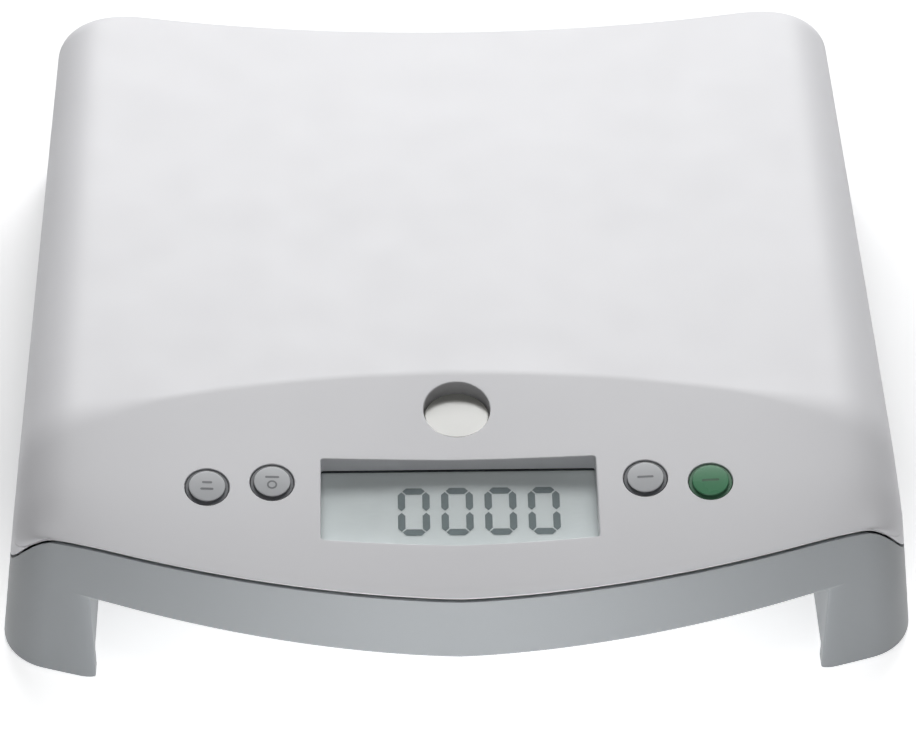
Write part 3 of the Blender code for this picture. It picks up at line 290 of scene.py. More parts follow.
# Stage: the table, its pool of light, and each light by its power's setting: name, place, aim and size
TABLE_THICK = 0.02
TABLE_SINK = 0.00005
POOL_SHIFT = (0.0, 1.5, 0.0)
POOL_SCALE = (5.0, 7.5, 1.0)
POOL_INNER = 0.3
POOL_OUTER = 1.6
LIGHTS = {
    "back": ("back_softbox", (0.08, 1.35, 1.10), (0.0, 0.0, 0.06), (1.3, 0.8)),
    "high": ("high_softbox", (0.08, 1.10, 1.35), (0.0, 0.0, 0.06), (1.3, 0.5)),
    "side": ("side_softbox", (1.0, 1.0, 1.0), (0.0, 0.0, 0.06), (0.7, 0.7)),
    "top": ("top_softbox", (0.0, -0.45, 1.50), (0.0, -0.1, 0.06), (0.6, 0.6)),
    "near": ("near_card", (0.0, -0.31, 0.012), (0.0, -0.16, 0.012), (0.24, 0.02)),
    "far": ("far_card", (0.0, -0.38, 0.006), (0.0, -0.16, 0.006), (0.10, 0.012)),
}


# Settings

def colour_setting(name, description, default):
    """A colour that the user can change."""
    return bpy.props.StringProperty(name=name, description=description + ", sRGB hex", default=default)


def length_setting(name, description, default, precision=5):
    """A size in metres that the user can change."""
    return bpy.props.FloatProperty(
        name=name, description=description, default=default, unit="LENGTH", precision=precision,
    )


def light_setting(name, description, default):
    """A light's power or strength that the user can change."""
    return bpy.props.FloatProperty(name=name, description=description, default=default)


class ShellSettings(bpy.types.PropertyGroup):
    white: colour_setting("White", "Upper shell colour", "ececef")
    grey: colour_setting("Grey", "Lower shell colour", "8d9194")
    grain: length_setting("Grain", "Grain of the spark-eroded mould face", MOULD_GRAIN)
    hole_rim: length_setting("Hole rim", "Rounding of the edges of holes", 0.0005)
    foot_rim: length_setting("Foot rim", "Rounding under the legs", 0.0003)
    arch_rim: length_setting("Arch rim", "Rounding of the edges of the arches", 0.0010)


class DisplaySettings(bpy.types.PropertyGroup):
    glass: colour_setting("Glass", "Reflector colour", "f1f8f7")
    ink: colour_setting("Ink", "Driven segment colour", "6d7b7c")
    digits: bpy.props.IntProperty(name="Digits", description="Number of digits", default=4, min=1, max=6)
    pitch: length_setting("Pitch", "Distance between digits", 0.01537)
    height: length_setting("Height", "Height of a digit", 0.0202)
    width: length_setting("Width", "Width of a digit", 0.0113)
    stroke: length_setting("Stroke", "Width of a segment", 0.0026)
    split: length_setting("Split", "Gap between segments", 0.0004)
    film: length_setting("Film", "Thickness of a segment", 0.00006, precision=6)


class KeySettings(bpy.types.PropertyGroup):
    cap: colour_setting("Cap", "Grey cap colour", "c6c8cb")
    green: colour_setting("Green", "Start key colour", "4f8f68")
    mark: colour_setting("Mark", "Printed mark colour", "77797d")
    button: colour_setting("Button", "Release button colour", "a0a09b")
    cap_radius: length_setting("Cap radius", "Radius of a key's cap", 0.0064)
    proud: length_setting("Proud", "Height of a key over the panel", 0.0007)
    mark_width: length_setting("Mark width", "Line width of the printed marks", 0.0009)


class FixingSettings(bpy.types.PropertyGroup):
    recess: length_setting("Recess", "Width of a screw's cross recess", 0.0008)
    stud_pitch: length_setting("Stud pitch", "Distance between a foot's studs", 0.0024)
    stud_height: length_setting("Stud height", "Height of a foot's studs", 0.0006)
    ridges: bpy.props.IntProperty(
        name="Ridges", description="Grip ridges on the battery door", default=6, min=1,
    )


class StageSettings(bpy.types.PropertyGroup):
    floor: colour_setting("Floor", "Floor colour", "f7f7f8")
    floor_size: length_setting("Floor size", "Side of the floor", 12.0)
    floor_glow: light_setting("Floor glow", "Light of the lit table", 0.26)
    front_glow: light_setting("Front glow", "Extra light of the table in front of the scale", 0.8)
    sky: light_setting("Sky", "Strength of the even light", 0.04)
    back: light_setting("Back", "Power of the softbox behind", 15.0)
    high: light_setting("High", "Power of the softbox high behind", 12.5)
    side: light_setting("Side", "Power of the softbox at the back right", 0.8)
    top: light_setting("Top", "Power of the softbox over the front", 3.2)
    near: light_setting("Near", "Power of the low card close in front", 0.10)
    far: light_setting("Far", "Power of the low card further in front", 0.17)


# Plan outline, at a height and a distance inside the outer wall

def mix(a, b, share):
    """Value at a share of the way from a to b."""
    return a + (b - a) * share


def smooth(share):
    """Eases a share from 0 to 1 with level ends."""
    share = min(max(share, 0.0), 1.0)
    return share * share * (3.0 - 2.0 * share)


def half_width(z):
    """Half of the shells' width at a height."""
    return FOOT_WIDTH / 2 - SIDE_DRAFT_SHARE * z


def front_centre(z):
    """y of the centre that the bowed front wall is drawn about, at a height."""
    return FRONT_RADIUS - FRONT_APEX + FRONT_DRAFT_SHARE * z


def front_corner(z):
    """Centre of the front corner's arc, and the angle that the arc turns through."""
    x = half_width(z) - FRONT_CORNER
    reach = FRONT_RADIUS - FRONT_CORNER
    return x, front_centre(z) - math.sqrt(reach * reach - x * x), math.acos(x / reach)


def back_corner(z):
    """Centre of the back corner's arc at a height."""
    return half_width(z) - BACK_CORNER, BACK_FACE - BACK_DRAFT_SHARE * z - BACK_CORNER


def front_y(x, z, inset=0.0):
    """y of the bowed front wall, or of a face at an inset inside it."""
    radius = FRONT_RADIUS - inset
    return front_centre(z) - math.sqrt(radius * radius - x * x)


def outline_point(station, z, inset):
    """A point of the right half of the plan: station is (kind, share), from the front to the back."""
    kind, share = station
    if kind == "front":
        turn = front_corner(z)[2]
        x = share * (FRONT_RADIUS - inset) * math.cos(turn)
        return x, front_y(x, z, inset)
    if kind == "corner":
        x, y, turn = front_corner(z)
        radius = FRONT_CORNER - inset
        return x + radius * math.cos(share * turn), y - radius * math.sin(share * turn)
    if kind == "side":
        return half_width(z) - inset, mix(front_corner(z)[1], back_corner(z)[1], share)
    x, y = back_corner(z)
    radius = BACK_CORNER - inset
    if kind == "back_corner":
        turn = share * math.pi / 2
        return x + radius * math.cos(turn), y + radius * math.sin(turn)
    return share * x, y + radius


# Height of the top surface

def crease_y(x):
    """y of the crease between the saddle and the panel."""
    return -CREASE_Y - CREASE_BOW * (x / PROFILE_SPAN) ** 2


def seam_front(x):
    """Height of the seam along the front, which rises to the sides and bends down at the corners."""
    bend = SEAM_BEND_SHARE * max(0.0, abs(x) - SEAM_BEND_START) ** 2
    return SEAM_MID + SEAM_RISE * (abs(x) / PROFILE_SPAN) ** SEAM_POWER_SHARE - bend


def panel_edge(x):
    """Where the panel would meet the rolled front edge if it ran straight: y and z."""
    z = seam_front(x) + SEAM_GROOVE / 2 + FRONT_LIP + EDGE_ROLL + EDGE_DROP
    return front_y(x, z, EDGE_ROLL), z


def saddle(x, y):
    """Height of the saddle, which rises to both sides."""
    share = (y + CREASE_Y) / (BACK_FACE + CREASE_Y)
    return mix(MID_FRONT, MID_BACK, share) + mix(RISE_FRONT, RISE_BACK, share) * (x / PROFILE_SPAN) ** 2


def crease_round(x):
    """Half width of the rounding over the crease, wider at the sides, where the crease fades."""
    return CREASE_ROUND + CREASE_FADE * smooth((abs(x) - FADE_START) / (PROFILE_SPAN - FADE_START))


def top_height(x, y):
    """Saddle behind the rounded crease and panel in front of it, with the panel's front half bowed."""
    crease = crease_y(x)
    ridge = saddle(x, crease)
    edge_y, edge_z = panel_edge(x)
    fall = (ridge - edge_z) / (crease - edge_y)
    rise = (saddle(x, crease + CREASE_Y) - ridge) / CREASE_Y
    ahead = y - crease
    width = crease_round(x)
    if ahead >= width:
        return saddle(x, y)
    if ahead <= -width:
        bow = max(0.0, 2 * ahead / (edge_y - crease) - 1.0)
        return ridge + fall * ahead - EDGE_DROP * bow * bow
    return ridge + (fall + rise) / 2 * ahead + (rise - fall) / (4 * width) * (ahead ** 2 + width ** 2)


def shoulder(line, wall):
    """How far in and how far down the shoulder rounds over at the end of a line of the surface."""
    kind, share = line
    ease = smooth(share) ** CORNER_POWER_SHARE if kind == "corner" else float(kind == "front")
    span = mix(SHOULDER_SPAN, CORNER_SPAN, ease)
    drop = mix(SHOULDER_DROP, CORNER_DROP, ease)
    return max(span - wall, wall / 2), max(drop - wall, 0.0)


def edge_roll(station):
    """Radius of the rolled edge at a station."""
    kind, share = station
    return {
        "front": EDGE_ROLL,
        "corner": EDGE_ROLL * smooth(share),
        "side": 0.0,
        "back_corner": BACK_ROLL * smooth(share),
        "back": BACK_ROLL,
    }[kind]


def rim_inset(station, lean):
    """Distance of the rim inside the outer wall; the roll dies away where the shoulder turns down."""
    kind, share = station
    if kind == "back":
        return BACK_ROLL * math.cos(lean)
    if kind == "back_corner":
        return BACK_ROLL * smooth(share) * math.cos(ROLL_REACH)
    return edge_roll(station)


def back_edge():
    """y of the top surface's back edge, inside the edge's roll."""
    return BACK_FACE - BACK_DRAFT_SHARE * saddle(0.0, BACK_FACE) - BACK_ROLL


def line_share(line, x, y):
    """Where a line of the surface runs between the rounded crease and the front or back edge."""
    if line[0] in ("front", "corner", "panel"):
        start = crease_y(x) - crease_round(x)
        return (start - y) / (start - panel_edge(x)[0])
    start = crease_y(x) + crease_round(x)
    return (y - start) / (back_edge() - start)


def line_y(line, share, x):
    """y of a line of the surface at a place across it."""
    if line[0] == "crease":
        return crease_y(x) - line[1] * crease_round(x)
    if line[0] in ("front", "corner", "panel"):
        return mix(crease_y(x) - crease_round(x), panel_edge(x)[0], share)
    return mix(crease_y(x) + crease_round(x), back_edge(), share)


@cache
def side_shares():
    """Shares of the panel line and the saddle line that meet the corners' arcs on the side."""
    z = SEAM_SIDE + SHOULDER_DROP
    front = outline_point(("corner", 0.0), z, 0.0)
    back = outline_point(("back_corner", 0.0), z, 0.0)
    return line_share(("panel", 0.0), *front), line_share(("saddle", 0.0), *back)


@cache
def surface_lines():
    """Lines across the top surface, from the front edge to the back edge."""
    panel, back = side_shares()
    lines = [("front", 1.0)]
    lines += [("corner", 1 - i / CORNER_STEPS) for i in range(1, CORNER_STEPS + 1)]
    lines += [("panel", panel * (1 - i / PANEL_STEPS)) for i in range(1, PANEL_STEPS)]
    lines += [("crease", 1 - 2 * i / CREASE_STEPS) for i in range(CREASE_STEPS + 1)]
    lines += [("saddle", back * i / SADDLE_STEPS) for i in range(1, SADDLE_STEPS)]
    lines += [("back_corner", i / BACK_STEPS) for i in range(BACK_STEPS)]
    return lines + [("back", 1.0)]


@cache
def surface_line(line, wall=0.0):
    """Right-hand half of one line, from the middle to the rim, at a depth inside the wall."""
    kind, share = line
    span, drop = shoulder(line, wall)
    rim = drop * (1 - math.cos(ROLL_REACH)) + wall
    z = SEAM_SIDE
    for _ in range(RIM_ROUNDS):
        if kind in ("front", "corner", "back_corner", "back"):
            run = line_share(line, *outline_point(line, z, edge_roll(line) + wall))
            end = outline_point(line, z, rim_inset(line, ROLL_REACH) + wall)
        else:
            width = half_width(z) - wall
            run = share
            end = (width, line_y(line, share, width))
        z = top_height(*end) - rim
    start = end[0] - span * math.sin(ROLL_REACH)
    points = [(start * i / FLAT_STEPS, wall) for i in range(FLAT_STEPS + 1)]
    for i in range(1, ROLL_STEPS + 1):
        turn = ROLL_REACH * i / ROLL_STEPS
        points.append((start + span * math.sin(turn), drop * (1 - math.cos(turn)) + wall))
    gap = end[1] - line_y(line, run, end[0])
    made = []
    for x, fall in points:
        y = line_y(line, run, x)
        if rim > wall:
            y += gap * (fall - wall) / (rim - wall)
        made.append(Vector((x, y, top_height(x, y) - fall)))
    made[-1].xy = end
    made[-1].z = z
    return made


def side_station(end):
    """Station of a line's end on the straight side."""
    low = front_corner(end.z)[1]
    high = back_corner(end.z)[1]
    return "side", (end.y - low) / (high - low)


@cache
def rim_stations():
    """Stations round the rim's right half, front to back, with the rim's height and the surface's lean."""
    lines = surface_lines()
    first = surface_line(lines[0])
    last = surface_line(lines[-1])
    found = [(("front", p.x / first[-1].x), p.z, 0.0) for p in first]
    for line in lines[1:-1]:
        end = surface_line(line)[-1]
        if line[0] == "corner":
            found.append((line, end.z, 0.0))
        elif line[0] == "back_corner":
            found.append((line, end.z, smooth(line[1]) * ROLL_REACH))
        else:
            found.append((side_station(end), end.z, 0.0))
    back = []
    for i, p in enumerate(last):
        lean = ROLL_REACH * max(i - FLAT_STEPS, 0) / ROLL_STEPS
        back.append((("back", p.x / last[-1].x), p.z, lean))
    return found + back[::-1]


def roll_point(station, rim, lean, turn):
    """A point of the rolled edge: turn runs from 0 at the rim to a right angle at the wall."""
    roll = rim_inset(station, lean)
    fall = max(roll, EDGE_ROLL) * (1 - math.cos(turn))
    z = rim - fall * math.cos(lean)
    x, y = outline_point(station, z, roll * (1 - math.sin(turn)))
    if station[0] == "back":
        x = station[1] * surface_line(("back", 1.0))[-1].x - fall * math.sin(lean)
    return Vector((x, y, z))


def seam_height(station, rim):
    """Height of the seam under a station of the rim."""
    kind, share = station
    if kind == "front":
        return rim - SEAM_GROOVE / 2 - FRONT_LIP - EDGE_ROLL
    if kind == "corner":
        width = outline_point(("front", 1.0), SEAM_MID, 0.0)[0]
        return mix(SEAM_SIDE, seam_front(width), smooth(share))
    return SEAM_SIDE


def all_round(half):
    """The whole ring from its right half, front middle to back middle."""
    return half + [Vector((-p.x, p.y, p.z)) for p in reversed(half[1:-1])]


def loop(height, inset):
    """Closed loop round the plan; its height is a value, or a function of the seam's and the rim's."""
    half = []
    stations = rim_stations()
    for i, (station, rim, _) in enumerate(stations):
        seam = seam_height(station, rim)
        lowest = min(near[1] for near in stations[max(i - 1, 0):i + 2])
        z = height(seam, lowest) if callable(height) else height
        half.append(Vector((*outline_point(station, z, inset), z)))
    return all_round(half)


# Frames on the sloping panel

def panel_slope():
    """Fall of the panel along its middle."""
    edge_y, edge_z = panel_edge(0.0)
    return (saddle(0.0, crease_y(0.0)) - edge_z) / (crease_y(0.0) - edge_y)


def panel_frame(x, y, depth):
    """Frame at a depth under the panel's middle line, with Z along the panel's normal."""
    tilt = math.atan(panel_slope())
    point = Vector((x, y, top_height(0.0, y) - depth / math.cos(tilt)))
    return Matrix.Translation(point) @ Matrix.Rotation(tilt, 4, "X")


def surface_frame(x, y):
    """Frame on the top surface with Z along its normal."""
    along_x = (top_height(x + CLEAR, y) - top_height(x - CLEAR, y)) / (2 * CLEAR)
    along_y = (top_height(x, y + CLEAR) - top_height(x, y - CLEAR)) / (2 * CLEAR)
    normal = Vector((-along_x, -along_y, 1.0)).normalized()
    turn = Vector((0.0, 0.0, 1.0)).rotation_difference(normal)
    return Matrix.Translation((x, y, top_height(x, y))) @ turn.to_matrix().to_4x4()


# Where each key stands, and the length and place of the bars that mark it
KEY_PLACES = {
    "unit_key": (-KEY_OUTER_X, -KEY_OUTER_Y),
    "tare_key": (-KEY_INNER_X, -KEY_INNER_Y),
    "hold_key": (KEY_INNER_X, -KEY_INNER_Y),
    "start_key": (KEY_OUTER_X, -KEY_OUTER_Y),
}
MARK_BARS = {
    "unit_key": [(0.0036, (0.0, 0.0014)), (0.0046, (0.0, -0.0014))],
    "tare_key": [(0.0050, (0.0, 0.0017))],
    "hold_key": [(0.0058, (0.0, 0.0))],
    "start_key": [(0.0062, (0.0, 0.0))],
}


# Mesh helpers

def mesh_object(name, bm, look=None):
    """Makes the finished mesh an object, with its faces outwards."""
    bmesh.ops.recalc_face_normals(bm, faces=bm.faces)
    if bm.calc_volume(signed=True) < 0:
        bmesh.ops.reverse_faces(bm, faces=bm.faces)
    data = bpy.data.meshes.new(name)
    bm.to_mesh(data)
    bm.free()
    made = bpy.data.objects.new(name, data)
    bpy.context.scene.collection.objects.link(made)
    if look is not None:
        data.materials.append(look)
    return made


def bridge(bm, lower, upper):
    """Joins two rings of vertices with a band of faces."""
    count = len(lower)
    for i in range(count):
        bm.faces.new((lower[i], lower[(i + 1) % count], upper[(i + 1) % count], upper[i]))


def loft(name, loops, look=None, closed=False):
    """Skins a list of loops of points; the ends are capped, or joined to each other if closed."""
    bm = bmesh.new()
    rings = [[bm.verts.new(point) for point in ring] for ring in loops]
    for lower, upper in zip(rings, rings[1:]):
        bridge(bm, lower, upper)
    if closed:
        bridge(bm, rings[-1], rings[0])
    else:
        bm.faces.new(rings[0])
        bm.faces.new(rings[-1])
    return mesh_object(name, bm, look)


def prism(name, outline, low, high, look=None):
    """Upright prism on an outline of (x, y) points."""
    return loft(name, [[(x, y, z) for x, y in outline] for z in (low, high)], look)


def box(name, low, high, look=None):
    """Box between two opposite corners."""
    bm = bmesh.new()
    bmesh.ops.create_cube(bm, size=1.0)
    size = Vector(high) - Vector(low)
    middle = (Vector(high) + Vector(low)) / 2
    place = Matrix.Translation(middle) @ Matrix.Diagonal((*size, 1.0))
    bmesh.ops.transform(bm, matrix=place, verts=bm.verts)
    return mesh_object(name, bm, look)


def circle(radius, centre=(0.0, 0.0), steps=TURN_STEPS):
    """Points of a circle."""
    turns = [2 * math.pi * i / steps for i in range(steps)]
    return [(centre[0] + radius * math.cos(turn), centre[1] + radius * math.sin(turn)) for turn in turns]


def turned(name, profile, look=None, steps=TURN_STEPS, ring=False):
    """Turns a profile of (radius, height) points about Z; a profile of a ring is closed and has a bore."""
    loops = [[(x, y, z) for x, y in circle(radius, steps=steps)] for radius, z in profile]
    return loft(name, loops, look, closed=ring)


def rounded_rectangle(half_x, half_y, radius, centre=(0.0, 0.0), steps=8):
    """Points of a rectangle with round corners."""
    points = []
    for turn, (sx, sy) in enumerate(((1, -1), (1, 1), (-1, 1), (-1, -1))):
        for step in range(steps + 1):
            angle = (turn - 1 + step / steps) * math.pi / 2
            points.append((
                centre[0] + sx * (half_x - radius) + radius * math.cos(angle),
                centre[1] + sy * (half_y - radius) + radius * math.sin(angle),
            ))
    return points


def placed(obj, matrix):
    """Puts the mesh in its place and leaves the object at the origin."""
    obj.data.transform(matrix)
    return obj


def joined(name, pieces, look=None):
    """One object out of several closed pieces."""
    bm = bmesh.new()
    for piece in pieces:
        bm.from_mesh(piece.data)
        bpy.data.objects.remove(piece, do_unlink=True)
    return mesh_object(name, bm, look)


def boolean(obj, other, operation):
    """Cuts the other object out of this one or adds it, and removes it."""
    modifier = obj.modifiers.new(operation.lower(), "BOOLEAN")
    modifier.operation = operation
    modifier.solver = "EXACT"
    modifier.object = other
    plain(obj)
    bpy.data.objects.remove(other, do_unlink=True)


def cut(obj, *cutters):
    for cutter in cutters:
        boolean(obj, cutter, "DIFFERENCE")


def add(obj, *pieces):
    for piece in pieces:
        boolean(obj, piece, "UNION")


def plain(obj):
    """Turns the modified shape into a plain mesh."""
    graph = bpy.context.evaluated_depsgraph_get()
    graph.update()
    data = bpy.data.meshes.new_from_object(obj.evaluated_get(graph))
    obj.modifiers.clear()
    obj.data = data
    if not data.polygons:
        raise RuntimeError(f"{obj.name} lost its faces")
    return obj


def bevel(obj, width, segments=3, angle=math.radians(30)):
    """Rounds the edges that are sharper than an angle."""
    modifier = obj.modifiers.new("bevel", "BEVEL")
    modifier.width = width
    modifier.segments = segments
    modifier.angle_limit = angle
    return plain(obj)


def shaded(obj, angle=35):
    """Shades smooth with sharp corners kept and large faces flat."""
    obj.data.shade_smooth()
    obj.data.set_sharp_from_angle(angle=math.radians(angle))
    modifier = obj.modifiers.new("normals", "WEIGHTED_NORMAL")
    modifier.keep_sharp = True
    modifier.weight = 100
    return plain(obj)


def painted(obj, look):
    """Gives the whole object one finish."""
    obj.data.materials.clear()
    obj.data.materials.append(look)
    return obj


def dressed(obj, body="base", nodes=()):
    """Rides on its body and the nodes it stands for."""
    if nodes:
        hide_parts(*nodes)
    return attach(obj, body)


# Materials

def linear(hex_code):
    """Linear colour of an sRGB hex value."""
    values = [int(hex_code[i:i + 2], 16) / 255 for i in (0, 2, 4)]
    return (*[v / 12.92 if v <= 0.04045 else ((v + 0.055) / 1.055) ** 2.4 for v in values], 1.0)


def wired(tree, node, inputs):
    """Sets a node's inputs, or links them to sockets."""
    for name, value in inputs.items():
        socket = node.inputs[name]
        if isinstance(value, bpy.types.NodeSocket):
            tree.links.new(value, socket)
        else:
            socket.default_value = value
    return node


def new_node(tree, kind, inputs=None, **settings):
    """Adds a node with its settings and its inputs."""
    made = tree.nodes.new(kind)
    for name, value in settings.items():
        setattr(made, name, value)
    return wired(tree, made, inputs or {})


def new_material(name):
    """A material with its Principled shader and a vector in metres on the object."""
    made = bpy.data.materials.new(name)
    made.use_nodes = True
    tree = made.node_tree
    shader = tree.nodes["Principled BSDF"]
    place = new_node(tree, "ShaderNodeTexCoord").outputs["Object"]
    return made, tree, shader, place


def per_metre(size):
    """Scale of a noise whose features have this size."""
    return 1.0 / size


def tone_noise(tree, place, size, low, high, detail=2.0):
    """Colour that drifts between two tones over patches of the given size."""
    noise = new_node(tree, "ShaderNodeTexNoise", {
        "Vector": place, "Scale": per_metre(size), "Detail": detail,
    })
    ramp = new_node(tree, "ShaderNodeValToRGB", {"Fac": noise.outputs["Fac"]})
    for stop, position, colour in zip(ramp.color_ramp.elements, (NOISE_LOW, NOISE_HIGH), (low, high)):
        stop.position = position
        stop.color = colour
    return ramp.outputs["Color"]


def shifted(colour, share):
    """The colour made lighter or darker by a share."""
    return (*[min(max(v * (1 + share), 0.0), 1.0) for v in colour[:3]], 1.0)


def moulded(name, hex_code, roughness, grain, depth):
    """Injection-moulded plastic: an even colour that drifts a little with the flow, a grained face from the
    mould, and small patches that are more polished by handling."""
    made, tree, shader, place = new_material(name)
    colour = linear(hex_code)
    wear = new_node(tree, "ShaderNodeTexNoise", {
        "Vector": place, "Scale": per_metre(WEAR_PATCH), "Detail": 4.0,
    })
    gloss = new_node(tree, "ShaderNodeMapRange", {
        "Value": wear.outputs["Fac"], "From Min": NOISE_LOW, "From Max": NOISE_HIGH,
        "To Min": roughness - GLOSS_DRIFT, "To Max": roughness + GLOSS_DRIFT,
    })
    face = new_node(tree, "ShaderNodeTexNoise", {"Vector": place, "Scale": per_metre(grain), "Detail": 1.0})
    bump = new_node(tree, "ShaderNodeBump", {
        "Height": face.outputs["Fac"], "Strength": 0.25, "Distance": depth,
    })
    wired(tree, shader, {
        "Base Color": tone_noise(
            tree, place, FLOW_PATCH, shifted(colour, -FLOW_DRIFT), shifted(colour, FLOW_DRIFT),
        ),
        "Roughness": gloss.outputs["Result"],
        "Normal": bump.outputs["Normal"],
        "IOR": 1.53,
    })
    return made


def white_abs():
    """White ABS, moulded in a spark-eroded tool: nearly matt, as its fine grain softens reflections."""
    shell = bpy.context.scene.scale_shell
    return moulded("white_abs_moulded", shell.white, 0.52, shell.grain, MOULD_DEPTH)


def grey_abs():
    """Light grey ABS, moulded: the same tool finish, a cooler and darker tone."""
    shell = bpy.context.scene.scale_shell
    return moulded("grey_abs_moulded", shell.grey, 0.40, shell.grain, MOULD_DEPTH)


def clear_acrylic():
    """Clear acrylic sheet, die-cut: nearly invisible, with a faint cool cast and sharp reflections."""
    made, tree, shader, place = new_material("clear_acrylic_sheet")
    wired(tree, shader, {
        "Alpha": tone_noise(tree, place, HAZE_PATCH, (0.05, 0.05, 0.05, 1.0), (0.07, 0.07, 0.07, 1.0)),
        "Base Color": linear("c4d0d8"),
        "Roughness": 0.05,
        "IOR": 1.49,
    })
    return made


def display_glass():
    """Reflective liquid-crystal glass: a pale, finely brushed grey-green reflector behind a polariser."""
    made, tree, shader, place = new_material("liquid_crystal_glass")
    colour = linear(bpy.context.scene.scale_display.glass)
    stretch = new_node(tree, "ShaderNodeMapping", {
        "Vector": place, "Scale": (1.0, STREAK_STRETCH, STREAK_STRETCH),
    })
    along = stretch.outputs["Vector"]
    wired(tree, shader, {
        "Base Color": tone_noise(
            tree, along, STREAK_SIZE, shifted(colour, -0.03), shifted(colour, 0.03), 3.0,
        ),
        "Roughness": 0.28,
        "IOR": 1.50,
    })
    return made


def display_ink():
    """Driven liquid crystal: soft grey-green, seen on the reflector."""
    made, tree, shader, place = new_material("liquid_crystal_segment")
    colour = linear(bpy.context.scene.scale_display.ink)
    wired(tree, shader, {
        "Base Color": tone_noise(tree, place, INK_PATCH, shifted(colour, -0.06), shifted(colour, 0.06)),
        "Roughness": 0.35,
    })
    return made


def rubber():
    """Black silicone rubber, pressed: matt, with a fine bloom and a pebbled face."""
    made, tree, shader, place = new_material("black_rubber_pressed")
    pebbles = new_node(tree, "ShaderNodeTexVoronoi", {"Vector": place, "Scale": per_metre(PEBBLE_SIZE)})
    bump = new_node(tree, "ShaderNodeBump", {
        "Height": pebbles.outputs["Distance"], "Strength": 0.4, "Distance": PEBBLE_DEPTH,
    })
    wired(tree, shader, {
        "Base Color": tone_noise(tree, place, BLOOM_PATCH, linear("1b1b1c"), linear("2c2c2d"), 4.0),
        "Normal": bump.outputs["Normal"],
        "Roughness": 0.72,
    })
    return made


def silicone():
    """Grey silicone, pressed: the key mat's domes, soft and a little cloudy."""
    made, tree, shader, place = new_material("grey_silicone_pressed")
    wired(tree, shader, {
        "Base Color": tone_noise(tree, place, CLOUD_PATCH, linear("a2a3a6"), linear("adaeb1")),
        "Roughness": 0.55,
        "Subsurface Weight": 0.1,
    })
    return made


def laminate():
    """Glass-epoxy circuit board under green solder mask: its weave shows faintly as paler lines."""
    made, tree, shader, place = new_material("solder_masked_laminate")
    weave = new_node(tree, "ShaderNodeTexBrick", {
        "Vector": place, "Scale": per_metre(WEAVE_SIZE), "Mortar Size": 0.04,
        "Color1": linear("1f6a3c"), "Color2": linear("237344"), "Mortar": linear("2d8550"),
    })
    bump = new_node(tree, "ShaderNodeBump", {
        "Height": weave.outputs["Fac"], "Strength": 0.3, "Distance": WEAVE_DEPTH,
    })
    wired(tree, shader, {
        "Base Color": weave.outputs["Color"],
        "Normal": bump.outputs["Normal"],
        "Roughness": 0.35,
    })
    return made


def metal(name, low, high, roughness, streak):
    """Metal whose tone and gloss run in streaks of the given length and width."""
    made, tree, shader, place = new_material(name)
    long_way, fine = streak
    stretch = new_node(tree, "ShaderNodeMapping", {"Vector": place, "Scale": (1.0, fine / long_way, 1.0)})
    along = stretch.outputs["Vector"]
    lines = new_node(tree, "ShaderNodeTexNoise", {"Vector": along, "Scale": per_metre(fine)})
    gloss = new_node(tree, "ShaderNodeMapRange", {
        "Value": lines.outputs["Fac"],
        "To Min": roughness - STREAK_GLOSS, "To Max": roughness + STREAK_GLOSS,
    })
    wired(tree, shader, {
        "Base Color": tone_noise(tree, along, fine, linear(low), linear(high), 3.0),
        "Roughness": gloss.outputs["Result"],
        "Metallic": 1.0,
    })
    return made


def aluminium():
    """Aluminium bar, milled: long cutter marks along the beam."""
    return metal("milled_aluminium_bar", "c9cbce", "d8dadc", 0.34, MILLED_STREAK)


def steel():
    """Steel, cold-headed and bright zinc plated: bluish grey with small blotches."""
    return metal("zinc_plated_steel", "b4b7bc", "cbcdd0", 0.28, PLATED_STREAK)


def printed_film(name, low, high):
    """Shrink film round a battery, printed: smooth and glossy, with a tone that drifts a little."""
    made, tree, shader, place = new_material(name)
    wired(tree, shader, {
        "Base Color": tone_noise(tree, place, FILM_PATCH, linear(low), linear(high)),
        "Roughness": 0.22,
        "Coat Weight": 0.4,
    })
    return made


# Node trees for what repeats

def new_tree(name, sockets):
    """A geometry tree with its group input and output, and the named inputs."""
    tree = bpy.data.node_groups.new(name, "GeometryNodeTree")
    tree.interface.new_socket("Geometry", in_out="INPUT", socket_type="NodeSocketGeometry")
    for label, kind in sockets:
        tree.interface.new_socket(label, in_out="INPUT", socket_type=kind)
    tree.interface.new_socket("Geometry", in_out="OUTPUT", socket_type="NodeSocketGeometry")
    return tree, new_node(tree, "NodeGroupInput").outputs


def close_tree(tree, instances, finish):
    """Ends a tree in Realize Instances and Set Material."""
    real = new_node(tree, "GeometryNodeRealizeInstances", {"Geometry": instances})
    coated = new_node(tree, "GeometryNodeSetMaterial", {
        "Geometry": real.outputs["Geometry"], "Material": finish,
    })
    new_node(tree, "NodeGroupOutput", {"Geometry": coated.outputs["Geometry"]})
    return tree


@cache
def row_tree():
    """Copies of a shape in a straight row."""
    tree, given = new_tree("shape_row", (
        ("Shape", "NodeSocketObject"), ("Count", "NodeSocketInt"), ("Start", "NodeSocketVector"),
        ("Step", "NodeSocketVector"), ("Finish", "NodeSocketMaterial"),
    ))
    line = new_node(tree, "GeometryNodeMeshLine", {
        "Count": given["Count"], "Start Location": given["Start"], "Offset": given["Step"],
    }, mode="OFFSET")
    shape = new_node(tree, "GeometryNodeObjectInfo", {"Object": given["Shape"]})
    copies = new_node(tree, "GeometryNodeInstanceOnPoints", {
        "Points": line.outputs["Mesh"], "Instance": shape.outputs["Geometry"],
    })
    return close_tree(tree, copies.outputs["Instances"], given["Finish"])


